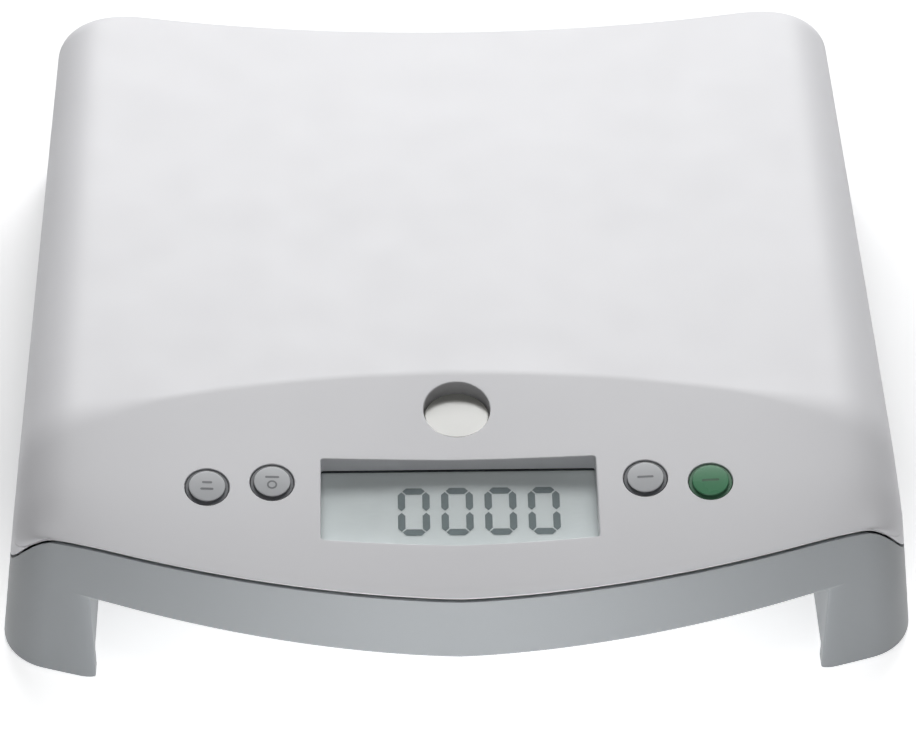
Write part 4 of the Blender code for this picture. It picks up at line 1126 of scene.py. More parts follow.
@cache
def places_tree():
    """Copies of a shape on the points of the piece, each turned by the point's own angles."""
    tree, given = new_tree("shape_on_places", (
        ("Shape", "NodeSocketObject"), ("Finish", "NodeSocketMaterial"),
    ))
    shape = new_node(tree, "GeometryNodeObjectInfo", {"Object": given["Shape"]})
    angles = new_node(tree, "GeometryNodeInputNamedAttribute", {"Name": "turn"}, data_type="FLOAT_VECTOR")
    turn = new_node(tree, "FunctionNodeEulerToRotation", {"Euler": angles.outputs["Attribute"]})
    copies = new_node(tree, "GeometryNodeInstanceOnPoints", {
        "Points": given["Geometry"], "Instance": shape.outputs["Geometry"],
        "Rotation": turn.outputs["Rotation"],
    })
    return close_tree(tree, copies.outputs["Instances"], given["Finish"])


@cache
def stud_tree():
    """Short cones in a square grid, kept where they lie on a round pad."""
    tree, given = new_tree("pad_studs", (
        ("Radius", "NodeSocketFloat"), ("Rows", "NodeSocketInt"), ("Stud Radius", "NodeSocketFloat"),
        ("Stud Height", "NodeSocketFloat"), ("Finish", "NodeSocketMaterial"),
    ))
    side = new_node(tree, "ShaderNodeMath", {0: given["Radius"], 1: 2.0}, operation="MULTIPLY")
    grid = new_node(tree, "GeometryNodeMeshGrid", {
        "Size X": side.outputs[0], "Size Y": side.outputs[0],
        "Vertices X": given["Rows"], "Vertices Y": given["Rows"],
    })
    position = new_node(tree, "GeometryNodeInputPosition")
    reach = new_node(tree, "ShaderNodeVectorMath", {0: position.outputs["Position"]}, operation="LENGTH")
    outside = new_node(tree, "FunctionNodeCompare", {
        "A": reach.outputs["Value"], "B": given["Radius"],
    }, operation="GREATER_THAN")
    kept = new_node(tree, "GeometryNodeDeleteGeometry", {
        "Geometry": grid.outputs["Mesh"], "Selection": outside.outputs["Result"],
    })
    tip = new_node(tree, "ShaderNodeMath", {
        0: given["Stud Radius"], 1: STUD_TIP_SHARE,
    }, operation="MULTIPLY")
    cone = new_node(tree, "GeometryNodeMeshCone", {
        "Vertices": STUD_SIDES, "Radius Top": tip.outputs[0], "Radius Bottom": given["Stud Radius"],
        "Depth": given["Stud Height"],
    })
    copies = new_node(tree, "GeometryNodeInstanceOnPoints", {
        "Points": kept.outputs["Geometry"], "Instance": cone.outputs["Mesh"],
    })
    return close_tree(tree, copies.outputs["Instances"], given["Finish"])


def grown(name, tree, values, points=None):
    """A plain mesh made by a tree from its named inputs, on the given places if there are any."""
    data = bpy.data.meshes.new(name)
    if points:
        data.from_pydata([place for place, _ in points], [], [])
        turns = data.attributes.new("turn", "FLOAT_VECTOR", "POINT")
        for i, (_, angles) in enumerate(points):
            turns.data[i].vector = angles
    made = bpy.data.objects.new(name, data)
    bpy.context.scene.collection.objects.link(made)
    modifier = made.modifiers.new("grown", "NODES")
    modifier.node_group = tree
    sockets = {item.name: item.identifier for item in tree.interface.items_tree if item.in_out == "INPUT"}
    for label, value in values.items():
        modifier[sockets[label]] = value
    plain(made)
    shape = values.get("Shape")
    if shape is not None:
        bpy.data.objects.remove(shape, do_unlink=True)
    return made


# Upper shell

def surface_ring(bm, wall):
    """Adds the saddle, shoulders and panel at a depth inside the wall, and gives the ring of its rim."""
    rows = []
    for line in surface_lines():
        half = surface_line(line, wall)
        points = [Vector((-p.x, p.y, p.z)) for p in reversed(half[1:])] + half
        rows.append([bm.verts.new(p) for p in points])
    for lower, upper in zip(rows, rows[1:]):
        for i in range(len(lower) - 1):
            bm.faces.new((lower[i], lower[i + 1], upper[i + 1], upper[i]))
    middle = len(rows[0]) // 2
    right = rows[0][middle:] + [row[-1] for row in rows[1:-1]] + list(reversed(rows[-1][middle:]))
    left = list(reversed(rows[-1][:middle])) + [row[0] for row in reversed(rows[1:-1])] + rows[0][:middle]
    return right + left


def undercut_share(station):
    """How fully the front edge is undercut at a station: wholly in front, fading out round the corners."""
    kind, share = station
    return smooth(share) if kind == "corner" else float(kind == "front")


def upper_skin():
    """The outer surface, its rolled edge and wall, and the inner surface, as one closed shell."""
    bm = bmesh.new()
    ring = surface_ring(bm, 0.0)
    for level in range(1, EDGE_STEPS + 1):
        turn = level / EDGE_STEPS * math.pi / 2
        below = [bm.verts.new(p) for p in all_round([roll_point(*s, turn) for s in rim_stations()])]
        bridge(bm, below, ring)
        ring = below
    inner = surface_ring(bm, TOP_WALL)
    under = []
    outer_foot = []
    inner_foot = []
    for (station, rim, lean), inside in zip(rim_stations(), inner):
        back = UNDERCUT * undercut_share(station)
        lip = roll_point(station, rim, lean, math.pi / 2)
        lip.z -= EDGE_ROLL / 4
        if back:
            lip.xy = outline_point(station, lip.z, back)
        under.append(lip)
        z = seam_height(station, rim) + SEAM_GROOVE / 2
        outer_foot.append(Vector((*outline_point(station, z, back), z)))
        low = min(z, inside.co.z - CLEAR)
        inner_foot.append(Vector((*outline_point(station, low, TOP_WALL), low)))
    under_ring = [bm.verts.new(p) for p in all_round(under)]
    bridge(bm, under_ring, ring)
    ring = under_ring
    outer_ring = [bm.verts.new(p) for p in all_round(outer_foot)]
    inner_ring = [bm.verts.new(p) for p in all_round(inner_foot)]
    bridge(bm, outer_ring, ring)
    bridge(bm, inner_ring, outer_ring)
    bridge(bm, inner, inner_ring)
    return mesh_object("top_shell_skin", bm)


def well_outline(grow=0.0, steps=24):
    """Outline of the display opening, its near edge bowed and its corners round."""
    half = LCD_HALF + grow
    back = -LCD_BACK + grow
    front = -LCD_FRONT - grow
    radius = LCD_CORNER + max(grow, 0.0)
    points = [
        (x, front - LCD_BOW * (1 - (x / half) ** 2))
        for x in (mix(-half + radius, half - radius, step / steps) for step in range(steps + 1))
    ]
    for start, (x, y) in zip((-90, 0, 90, 180), (
        (half - radius, front + radius), (half - radius, back - radius),
        (-half + radius, back - radius), (-half + radius, front + radius),
    )):
        for step in range(1, ROUND_STEPS):
            turn = math.radians(start + 90 * step / ROUND_STEPS)
            points.append((x + radius * math.cos(turn), y + radius * math.sin(turn)))
        if start == 0:
            shares = [step / steps for step in range(steps + 1)]
            points += [(mix(half - radius, -half + radius, share), back) for share in shares]
        if start == -90:
            points.append((half, front + radius))
            points.append((half, back - radius))
        if start == 90:
            points.append((-half, back - radius))
            points.append((-half, front + radius))
    return points


def flare(rim):
    """Growth and depth of the steps of a rounded rim, from the surface down."""
    turns = [step / EDGE_STEPS * math.pi / 2 for step in range(EDGE_STEPS + 1)]
    return [(rim * (1 - math.sin(turn)), rim * (1 - math.cos(turn))) for turn in turns]


def rim_lift(rim):
    """How far outside the surface a flared cutter's flare starts, so that it cuts clean."""
    return rim / 20


def sunk_cutter(name, outline, rim, low):
    """Upright cutter through the top surface, flared there so that the hole's rim is round."""
    lift = rim_lift(rim)
    rings = [[(x, y, MID_FRONT + OVERRUN) for x, y in outline(rim)]]
    for grow, depth in flare(rim):
        rings.append([(x, y, top_height(x, y) - depth + lift) for x, y in outline(grow)])
    rings.append([(x, y, low) for x, y in outline(0.0)])
    return loft(name, rings)


def key_cutter(name, rim):
    """Round cutter square to the panel, flared at the surface."""
    radius = KEY_RADIUS + CLEAR
    profile = [(radius + rim, OVERRUN)]
    profile += [(radius + grow, rim_lift(rim) - depth) for grow, depth in flare(rim)]
    profile.append((radius, -OVERRUN))
    return placed(turned(f"hole_{name}", profile), surface_frame(*KEY_PLACES[name]))


def screw_places():
    """Places of the screws that hold the two shells together."""
    rows = (-SHELL_SCREW_FRONT, SHELL_SCREW_MID, SHELL_SCREW_BACK)
    return [(side * SHELL_SCREW_X, y) for y in rows for side in (-1, 1)]


def display_well():
    """Wall round the display, from the panel down."""
    outer = well_outline(WELL_WALL)
    inner = well_outline(-CLEAR / 2)
    depth = (WELL_DEPTH + CLEAR * WELL_REACH_SHARE) / math.cos(math.atan(panel_slope()))
    return loft("well", [
        [(x, y, top_height(x, y) - EMBED) for x, y in outer],
        [(x, y, top_height(0.0, y) - depth) for x, y in outer],
        [(x, y, top_height(0.0, y) - depth) for x, y in inner],
        [(x, y, top_height(x, y) - EMBED) for x, y in inner],
    ], closed=True)


def release_outline(grow):
    """Hole for the release button, grown by a distance."""
    return circle(RELEASE_RADIUS + CLEAR + grow, (0.0, -RELEASE_Y))


def release_collar():
    """Thin collar that guides the release button, from the panel down to its flange."""
    inner = circle(RELEASE_RADIUS + CLEAR / 2, (0.0, -RELEASE_Y))
    outer = release_outline(COLLAR_WALL)
    seat = release_seat() + CLEAR
    rings = []
    for outline in (outer, inner):
        rings.append([
            [(x, y, max(top_height(x, y) - EMBED, seat + CLEAR)) for x, y in outline],
            [(x, y, seat) for x, y in outline],
        ])
    return loft("collar", rings[0] + rings[1][::-1], closed=True)


def screw_bosses():
    """Bosses for the shell screws, from the floor plate up to the top wall."""
    return [
        prism(f"boss_{i}", circle(SHELL_BOSS_RADIUS, (x, y), ROD_STEPS), FLOOR_TOP + CLEAR,
              top_height(x, y) - EMBED)
        for i, (x, y) in enumerate(screw_places())
    ]


def screw_bores():
    """Bores of the bosses."""
    top = FLOOR_UNDER + SHELL_SCREW_LENGTH + OVERRUN
    return [
        prism(f"bore_{i}", circle(SHELL_SCREW_RADIUS + CLEAR, (x, y), BORE_STEPS), FLOOR_TOP - OVERRUN, top)
        for i, (x, y) in enumerate(screw_places())
    ]


class BABYSCALE_OT_top_shell(bpy.types.Operator):
    """Upper shell: saddle, shoulders, sloping panel, display opening and holes"""

    bl_idname = "babyscale.top_shell"
    bl_label = "Upper shell"

    def execute(self, context):
        rim = context.scene.scale_shell.hole_rim
        shell = upper_skin()
        shell.name = "upper_shell"
        add(shell, joined("raised", [display_well(), release_collar(), *screw_bosses()]))
        holes = [key_cutter(name, rim) for name in KEY_PLACES]
        holes.append(sunk_cutter("display_opening", well_outline, rim, FLOOR_TOP))
        holes.append(sunk_cutter("release_hole", release_outline, rim, FLOOR_TOP + OVERRUN))
        cut(shell, joined("holes", holes + screw_bores()))
        dressed(shaded(painted(shell, white_abs())), nodes=["top_shell"])
        return {"FINISHED"}


# Lower shell

def skirt_low(x):
    """Lower edge of the front skirt."""
    return seam_front(x) - SKIRT_MID + SKIRT_FALL * (x / PROFILE_SPAN) ** 2


def notch_section(grow, steps=48):
    """The front notch in x and z: up one leg, round the corner, along the skirt and down the other leg."""
    half = NOTCH_HALF + grow
    lift = grow * SKIRT_ROUND / NOTCH_FLARE
    radius = NOTCH_CORNER
    top = skirt_low(half) + lift
    side = [(half, -OVERRUN)]
    side += [(half, mix(LEG_BOTTOM, top - radius, part / ROUND_STEPS)) for part in range(ROUND_STEPS + 1)]
    for step in range(1, ROUND_STEPS):
        turn = math.radians(90 * step / ROUND_STEPS)
        side.append((half - radius * (1 - math.cos(turn)), top - radius * (1 - math.sin(turn))))
    across = [mix(half - radius, 0.0, step / steps) for step in range(steps + 1)]
    right = side + [(x, skirt_low(x) + lift) for x in across]
    return right + [(-x, z) for x, z in reversed(right[:-1])]


def front_notch():
    """Cutter through the front wall between the legs, flared so that the legs' inner edges are round."""
    steps = 10
    rings = [[(x, -FRONT_APEX - OVERRUN, z) for x, z in notch_section(NOTCH_FLARE)]]
    for step in range(steps + 1):
        turn = step / steps * math.pi / 2
        depth = NOTCH_DEPTH * (1 - math.cos(turn))
        rings.append([
            (x, front_y(x, z) + depth, z) for x, z in notch_section(NOTCH_FLARE * (1 - math.sin(turn)))
        ])
    rings.append([(x, front_y(NOTCH_HALF, 0.0) + 2 * OVERRUN, z) for x, z in notch_section(0.0)])
    return loft("front_notch", rings)


def arch_outline(half, top, radius, steps=10):
    """Outline of an arch: legs down past the floor, round top corners."""
    points = [(half, -OVERRUN)]
    for step in range(steps + 1):
        angle = step / steps * math.pi / 2
        points.append((half - radius + radius * math.cos(angle), top - radius + radius * math.sin(angle)))
    return points + [(-x, z) for x, z in reversed(points)]


def back_arch(rim):
    """Cutter through the back wall, flared outside."""
    wall = BACK_FACE + OVERRUN
    rings = [[(x, wall, z) for x, z in arch_outline(NOTCH_HALF + rim, ARCH_TOP + rim, ARCH_ROUND + rim)]]
    for grow, depth in flare(rim):
        outline = arch_outline(NOTCH_HALF + grow, ARCH_TOP + grow, ARCH_ROUND + grow)
        rings.append([
            (x, BACK_FACE - BACK_DRAFT_SHARE * z - depth + rim_lift(rim), z) for x, z in outline
        ])
    inner = arch_outline(NOTCH_HALF, ARCH_TOP, ARCH_ROUND)
    rings.append([(x, BACK_FACE - 3 * OVERRUN, z) for x, z in inner])
    return loft("back_arch", rings)


def side_arch(rim, side):
    """Cutter through one side wall, flared outside."""
    middle = (BACK_LEG_END - FRONT_LEG_END) / 2
    half = (BACK_LEG_END + FRONT_LEG_END) / 2 - LEG_STEP
    outer = arch_outline(half + rim, ARCH_TOP + rim, ARCH_ROUND + rim)
    rings = [[(side * (FOOT_WIDTH / 2 + OVERRUN), middle + y, z) for y, z in outer]]
    for grow, depth in flare(rim):
        outline = arch_outline(half + grow, ARCH_TOP + grow, ARCH_ROUND + grow)
        rings.append([
            (side * (half_width(z) - depth + rim_lift(rim)), middle + y, z) for y, z in outline
        ])
    inner = arch_outline(half, ARCH_TOP, ARCH_ROUND)
    rings.append([(side * (NOTCH_HALF - OVERRUN), middle + y, z) for y, z in inner])
    return loft(f"side_arch_{side}", rings)


def under_cavity():
    """Everything between the legs and the lips, up to the floor plate."""
    wide = half_width(FLOOR_UNDER) - LIP_WALL
    narrow = NOTCH_HALF + LEG_STEP
    back = BACK_FACE - BACK_DRAFT_SHARE * FLOOR_UNDER - LIP_WALL
    steps = 40
    across = [mix(-narrow, narrow, step / steps) for step in range(steps + 1)]
    front = [(x, front_y(x, FLOOR_UNDER, LIP_WALL)) for x in across]
    right = [
        (narrow, -FRONT_LEG_END), (wide, -FRONT_LEG_END), (wide, BACK_LEG_END), (narrow, BACK_LEG_END),
        (narrow, back),
    ]
    outline = front + right + [(-x, y) for x, y in reversed(right)]
    return prism("under_cavity", outline, -OVERRUN, FLOOR_UNDER)


def foot_places():
    """Corner name, foot centre, and which way the beam runs from the foot."""
    return [
        (f"{row}_{hand}", side * FOOT_X, y, run)
        for row, y, run in (("front", -FRONT_FOOT_Y, 1), ("back", BACK_FOOT_Y, -1))
        for hand, side in (("left", -1), ("right", 1))
    ]


def bay_half():
    """Half of the battery bay's width."""
    return CELL_COUNT * CELL_PITCH / 2 + CELL_CLEAR


def hinge_line():
    """y and z of the battery door's hinge."""
    return BAY_Y + BAY_LENGTH / 2 + DOOR_LAP, FLOOR_UNDER - CLEAR - DOOR_THICK / 2


def skirt_top(seam, _):
    """Top of the outer wall, under the groove."""
    return seam - SEAM_GROOVE / 2


def skirt_step(seam, rim):
    """Height behind the skirt's lip, clear of the upper shell's underside."""
    return min(skirt_top(seam, rim), rim - TOP_WALL - TONGUE_GAP)


def tongue_top(seam, rim):
    """Top of the inner wall that stands behind the seam and round the floor plate."""
    return max(skirt_step(seam, rim) + CLEAR, FLOOR_TOP + TONGUE_RISE)


def lower_skin(rim):
    """The outer wall with its round foot and lip, and the tongue behind the seam, as one closed solid."""
    outer = TOP_WALL + 2 * CLEAR
    inner = outer + TONGUE_WALL
    rings = [loop(LEG_BOTTOM + depth, grow) for grow, depth in flare(rim)]
    lip = SKIRT_LIP / 4
    rings += [
        loop(lambda seam, low: skirt_top(seam, low) - lip, 0.0),
        loop(lambda seam, low: skirt_top(seam, low) - lip / 3, lip / 3),
        loop(skirt_top, lip),
        loop(skirt_top, SKIRT_LIP),
        loop(skirt_step, outer),
        loop(tongue_top, outer),
        loop(tongue_top, inner),
        loop(FLOOR_TOP, inner),
    ]
    return loft("lower_shell", rings)


def under_ribs():
    """Cross ribs under the floor plate, in front of and behind the battery door."""
    low = FLOOR_UNDER - RIB_DEPTH
    narrow = NOTCH_HALF + LEG_STEP + EMBED
    door_front = BAY_Y - BAY_LENGTH / 2 - DOOR_LAP - 2 * OVERRUN
    door_back = BAY_Y + BAY_LENGTH / 2 + DOOR_LAP + 2 * OVERRUN
    span = door_front + FRONT_LEG_END
    rows = (door_front, door_front - span / 2, door_front - span, door_back)
    return [
        box(f"rib_{i}", (-narrow, y - RIB_WALL / 2, low), (narrow, y + RIB_WALL / 2, FLOOR_UNDER + EMBED))
        for i, y in enumerate(rows)
    ]


def beam_screw_y(y, run):
    """Where the screw of a foot's beam stands."""
    return y + run * (BEAM_LENGTH - BEAM_OVERHANG - BEAM_SCREW_BACK)


def beam_pockets():
    """Cutters for the pockets over the feet, which hold the foot posts and the beams' ends."""
    made = []
    for name, x, y, run in foot_places():
        low, high = sorted((y - run * POCKET_FRONT, y - run * POCKET_FRONT + run * POCKET_LENGTH))
        outline = rounded_rectangle(POCKET_HALF, (high - low) / 2, POCKET_ROUND, (x, (low + high) / 2))
        made.append(prism(f"pocket_{name}", outline, LEG_BOTTOM + LEG_FLOOR, FLOOR_TOP + 2 * OVERRUN))
    return made


def beam_pads():
    """Raised pads that the beams are screwed to."""
    half = BEAM_SIZE / 2
    made = []
    for name, x, y, run in foot_places():
        spot = beam_screw_y(y, run)
        made.append(box(
            f"pad_{name}", (x - half, spot - BEAM_SCREW_BACK, FLOOR_TOP - EMBED),
            (x + half, spot + BEAM_SCREW_BACK, FLOOR_TOP + BEAM_LIFT - CLEAR),
        ))
    return made


def floor_holes():
    """Cutters for the foot pads' holes in the legs and the screws' holes in the floor plate."""
    made = []
    for name, x, y, run in foot_places():
        pad = circle(FOOT_PAD_RADIUS + FOOT_GAP, (x, y))
        made.append(prism(f"foot_hole_{name}", pad, -OVERRUN, LEG_BOTTOM + LEG_FLOOR + EMBED))
        screw = circle(BEAM_SCREW_RADIUS + CLEAR, (x, beam_screw_y(y, run)), HOLE_STEPS)
        made.append(prism(f"beam_hole_{name}", screw, FLOOR_UNDER - OVERRUN, FLOOR_TOP + OVERRUN))
    for i, (x, y) in enumerate(screw_places()):
        screw = circle(SHELL_SCREW_RADIUS + CLEAR, (x, y), HOLE_STEPS)
        made.append(prism(f"screw_hole_{i}", screw, FLOOR_UNDER - 2 * OVERRUN, FLOOR_TOP + OVERRUN))
    return made


def battery_bay():
    """The bay's outer block and the hollow that is cut into it."""
    across = bay_half()
    deep = BAY_LENGTH / 2
    top = FLOOR_UNDER + 2 * CELL_RADIUS + 2 * CELL_CLEAR
    bay = box(
        "bay", (-across - BAY_WALL, BAY_Y - deep - BAY_WALL, FLOOR_UNDER + EMBED),
        (across + BAY_WALL, BAY_Y + deep + BAY_WALL, top + BAY_WALL),
    )
    hollow = box(
        "bay_hollow", (-across, BAY_Y - deep, FLOOR_UNDER - OVERRUN), (across, BAY_Y + deep, top),
    )
    return bay, hollow


def door_ears():
    """Ears that the battery door's pins turn in."""
    hinge_y, hinge_z = hinge_line()
    door = bay_half() + DOOR_LAP
    made = []
    for side in (-1, 1):
        ends = sorted((side * (door + CLEAR), side * (door + CLEAR + EAR_WALL)))
        ear = box(
            f"ear_{side}", (ends[0], hinge_y - EAR_HALF, hinge_z - EAR_HALF),
            (ends[1], hinge_y + EAR_HALF, FLOOR_UNDER + EMBED),
        )
        made.append(bevel(ear, EAR_HALF / 6))
    return made


def pin_hole():
    """Cutter through both ears, along the hinge."""
    hinge_y, hinge_z = hinge_line()
    reach = bay_half() + DOOR_LAP + EAR_WALL + OVERRUN
    hole = prism("pin_hole", circle(PIN_RADIUS + CLEAR, steps=HOLE_STEPS), -reach, reach)
    return placed(hole, Matrix.Translation((0.0, hinge_y, hinge_z)) @ Matrix.Rotation(math.pi / 2, 4, "Y"))


class BABYSCALE_OT_bottom_shell(bpy.types.Operator):
    """Lower shell: skirt, four legs, arches, floor plate, ribs and battery bay"""

    bl_idname = "babyscale.bottom_shell"
    bl_label = "Lower shell"

    def execute(self, context):
        rim = context.scene.scale_shell.arch_rim
        shell = lower_skin(context.scene.scale_shell.foot_rim)
        cut(shell, under_cavity(), front_notch(), back_arch(rim), side_arch(rim, -1), side_arch(rim, 1))
        cut(shell, joined("pockets", beam_pockets()))
        bay, hollow = battery_bay()
        add(shell, bay, joined("raised", beam_pads() + door_ears()), joined("ribs", under_ribs()))
        cut(shell, hollow, joined("round_holes", floor_holes() + [pin_hole()]))
        dressed(shaded(painted(shell, grey_abs())), nodes=["bottom_shell"])
        return {"FINISHED"}


# Display

def segment(start, end, stroke, split, thick):
    """One bar of a digit between two corners of its frame, with pointed ends."""
    start, end = Vector(start), Vector(end)
    along = (end - start).normalized()
    across = Vector((-along.y, along.x)) * stroke / 2
    a = start + along * split
    b = end - along * split
    inner = along * stroke / 2
    outline = [a, a + inner - across, b - inner - across, b, b - inner + across, a + inner + across]
    return prism("segment", [(p.x, p.y) for p in outline], 0.0, thick)


def zero_digit(display):
    """The digit nought: six bars round an upright frame."""
    x = (display.width - display.stroke) / 2
    y = (display.height - display.stroke) / 2
    corners = [(-x, -y), (x, -y), (x, 0.0), (x, y), (-x, y), (-x, 0.0)]
    bars = [
        segment(a, b, display.stroke, display.split, display.film)
        for a, b in zip(corners, corners[1:] + corners[:1])
    ]
    return joined("nought", bars)


class BABYSCALE_OT_display(bpy.types.Operator):
    """Display: clear window, liquid-crystal glass and its digits"""

    bl_idname = "babyscale.display"
    bl_label = "Display"

    def execute(self, context):
        display = context.scene.scale_display
        finishes = {
            "display_window": ("clear_acrylic", clear_acrylic()),
            "display_glass": ("display_glass", display_glass()),
            "display_holder": (
                "holder_abs", moulded("black_abs_moulded", "26272a", 0.45, MOULD_GRAIN, MOULD_DEPTH),
            ),
            "display_connector": ("black_rubber", rubber()),
            "display_board": ("board_laminate", laminate()),
        }
        for name, (slot, look) in finishes.items():
            repaint(name, look)
        digits = grown("display_digits", row_tree(), {
            "Shape": zero_digit(display), "Count": display.digits, "Start": (DIGIT_FIRST_X, 0.0, 0.0),
            "Step": (display.pitch, 0.0, 0.0), "Finish": display_ink(),
        })
        placed(digits, panel_frame(0.0, DIGIT_ROW_Y, GLASS_TOP - display.film / 4))
        dressed(digits)
        return {"FINISHED"}


def nodes_called(start):
    """Names of the frame's nodes that begin with a word."""
    return [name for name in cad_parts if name.startswith(start)]


def repaint(name, look):
    """Gives a frame node its finish."""
    node = painted(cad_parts[name], look)


# Keys

def crown(radius, keys):
    """Height of a cap's slightly domed face over the panel."""
    return keys.proud + CROWN * (1 - (radius / keys.cap_radius) ** 2)


def key_shape(name, keys):
    """Key with a domed cap that stands in a moat, a flange under the panel and a stem; the keys' operator
    paints the moat and the cap's flank dark as painted shade.
    """
    cap = keys.cap_radius
    face = cap - CAP_EDGE
    profile = [(face * share, crown(face * share, keys)) for share in CROWN_RINGS]
    profile += [
        (face + CAP_EDGE * math.sin(turn), crown(face, keys) - CAP_EDGE * (1 - math.cos(turn)))
        for turn in (math.radians(angle) for angle in (0, 22, 45, 68, 90))
    ]
    profile += [
        (cap, -MOAT_DEPTH / 2), (cap + MOAT_DEPTH / 2, -MOAT_DEPTH),
        (KEY_RADIUS - MOAT_DEPTH / 4, -MOAT_DEPTH), (KEY_RADIUS, -MOAT_DEPTH * MOAT_WALL_SHARE),
    ]
    flange_top = -TOP_WALL - CLEAR
    flange = KEY_RADIUS + KEY_FLANGE
    profile += [
        (KEY_RADIUS, flange_top), (flange, flange_top), (flange, flange_top - KEY_FLANGE_THICK),
        (KEY_STEM, flange_top - KEY_FLANGE_THICK), (KEY_STEM, -stem_reach(name)),
    ]
    return turned(name + "_cap", profile)


def stem_reach(name):
    """How far a key's stem reaches down its axis, from the frame's own node."""
    turn = surface_frame(*KEY_PLACES[name]).inverted()
    return -min((turn @ v.co).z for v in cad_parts[name].data.vertices)


def mark_bar(length, thick, place, width):
    """Printed bar with round ends."""
    outline = rounded_rectangle(length / 2, width / 2, width / 2 * ROUND_END_SHARE, place, ROUND_STEPS)
    return prism("mark", outline, 0.0, thick)


def mark_ring(radius, thick, place, width):
    """Printed ring."""
    outer = circle(radius, place, SMALL_STEPS)
    inner = circle(radius - width, place, SMALL_STEPS)
    return loft("mark", [
        [(x, y, 0.0) for x, y in outer], [(x, y, thick) for x, y in outer],
        [(x, y, thick) for x, y in inner], [(x, y, 0.0) for x, y in inner],
    ], closed=True)


def key_marks(name, keys):
    """Plain marks that follow the cap's crown: bars, and a ring on the tare key."""
    width = keys.mark_width
    pieces = [mark_bar(length, MARK_FILM, place, width) for length, place in MARK_BARS[name]]
    if name == "tare_key":
        pieces.append(mark_ring(MARK_RING_RADIUS, MARK_FILM, (0.0, MARK_RING_Y), width * MARK_RING_SHARE))
    marks = joined(name + "_mark", pieces)
    for point in marks.data.vertices:
        point.co.z += crown(point.co.xy.length, keys) - MARK_FILM / 4
    return marks


class BABYSCALE_OT_keys(bpy.types.Operator):
    """Four keys with printed marks, their flanks and moats painted dark as shade round the caps"""

    bl_idname = "babyscale.keys"
    bl_label = "Keys"

    def execute(self, context):
        keys = context.scene.scale_keys
        grey = moulded("grey_key_abs_moulded", keys.cap, 0.30, KEY_GRAIN, KEY_DEPTH)
        green = moulded("green_key_abs_moulded", keys.green, 0.28, KEY_GRAIN, KEY_DEPTH)
        # The two flank finishes are painted shade: darker tones that stand in for the shadow in the gap and
        # on the flank round each cap.
        flank_shade = moulded("dark_flank_abs_moulded", "6a6c70", 0.45, KEY_GRAIN, KEY_DEPTH)
        green_flank_shade = moulded("dark_green_flank_abs_moulded", "3f7152", 0.40, KEY_GRAIN, KEY_DEPTH)
        ink = moulded("pad_printed_ink", keys.mark, 0.50, INK_GRAIN, KEY_DEPTH)
        green_ink = moulded("pad_printed_green_ink", "2c5c3e", 0.50, INK_GRAIN, KEY_DEPTH)
        mat = silicone()
        for name, spot in KEY_PLACES.items():
            start = name == "start_key"
            cap = key_shape(name, keys)
            cap.data.materials.append(green if start else grey)
            cap.data.materials.append(green_flank_shade if start else flank_shade)
            # Faces below the cap's edge or outside the cap, the flank and the moat, take the painted shade
            # finish.
            flank_top = keys.proud - CAP_EDGE * CAP_EDGE_SHARE
            for face in cap.data.polygons:
                if face.center.z < flank_top or face.center.xy.length > keys.cap_radius:
                    face.material_index = 1
            place = surface_frame(*spot)
            dressed(shaded(placed(cap, place)), name, [name])
            mark = key_marks(name, keys)
            mark.data.materials.append(green_ink if start else ink)
            dressed(placed(mark, place), name)
            repaint(name.replace("key", "dome"), mat)
        return {"FINISHED"}


def release_seat():
    """Height of the release button's flange under the panel."""
    slope = math.cos(math.atan(panel_slope()))
    return top_height(0.0, -RELEASE_Y - RELEASE_RADIUS - RELEASE_FLANGE) - TOP_WALL / slope - CLEAR


def release_edge():
    """Steps of the button's rounded edge: how far in and how far down, from the top to the flank."""
    turns = [math.radians(angle) for angle in (0, 18, 36, 54, 72, 90)]
    return [(RELEASE_EDGE * (1 - math.sin(turn)), RELEASE_EDGE * (1 - math.cos(turn))) for turn in turns]


class BABYSCALE_OT_release_button(bpy.types.Operator):
    """Round button that frees the tray, with its flange and stem"""

    bl_idname = "babyscale.release_button"
    bl_label = "Release button"

    def execute(self, context):
        disc = RELEASE_TOP - RELEASE_DISC
        flange = RELEASE_RADIUS + RELEASE_FLANGE
        skirt = RELEASE_RADIUS - RELEASE_SKIRT
        seat = release_seat()
        end = seat - RELEASE_FLANGE_THICK
        profile = [
            (POLE_RADIUS * DISH_POLE_SHARE, RELEASE_TOP - RELEASE_DISH),
            (RELEASE_RADIUS / 2, RELEASE_TOP - RELEASE_DISH * DISH_MID_SHARE),
        ]
        profile += [(RELEASE_RADIUS - inset, RELEASE_TOP - fall) for inset, fall in release_edge()]
        profile += [
            (RELEASE_RADIUS, seat), (flange, seat), (flange, end), (skirt, end), (skirt, disc),
            (RELEASE_STEM_RADIUS, disc), (RELEASE_STEM_RADIUS, RELEASE_STEM_END),
        ]
        cream = moulded(
            "cream_abs_polished", context.scene.scale_keys.button, 0.22, BUTTON_GRAIN, KEY_DEPTH,
        )
        button = turned("release_button_cap", profile, cream)
        placed(button, Matrix.Translation((0.0, -RELEASE_Y, 0.0)))
        dressed(shaded(button), "release_button", ["release_button"])
        return {"FINISHED"}


# Feet and fixings

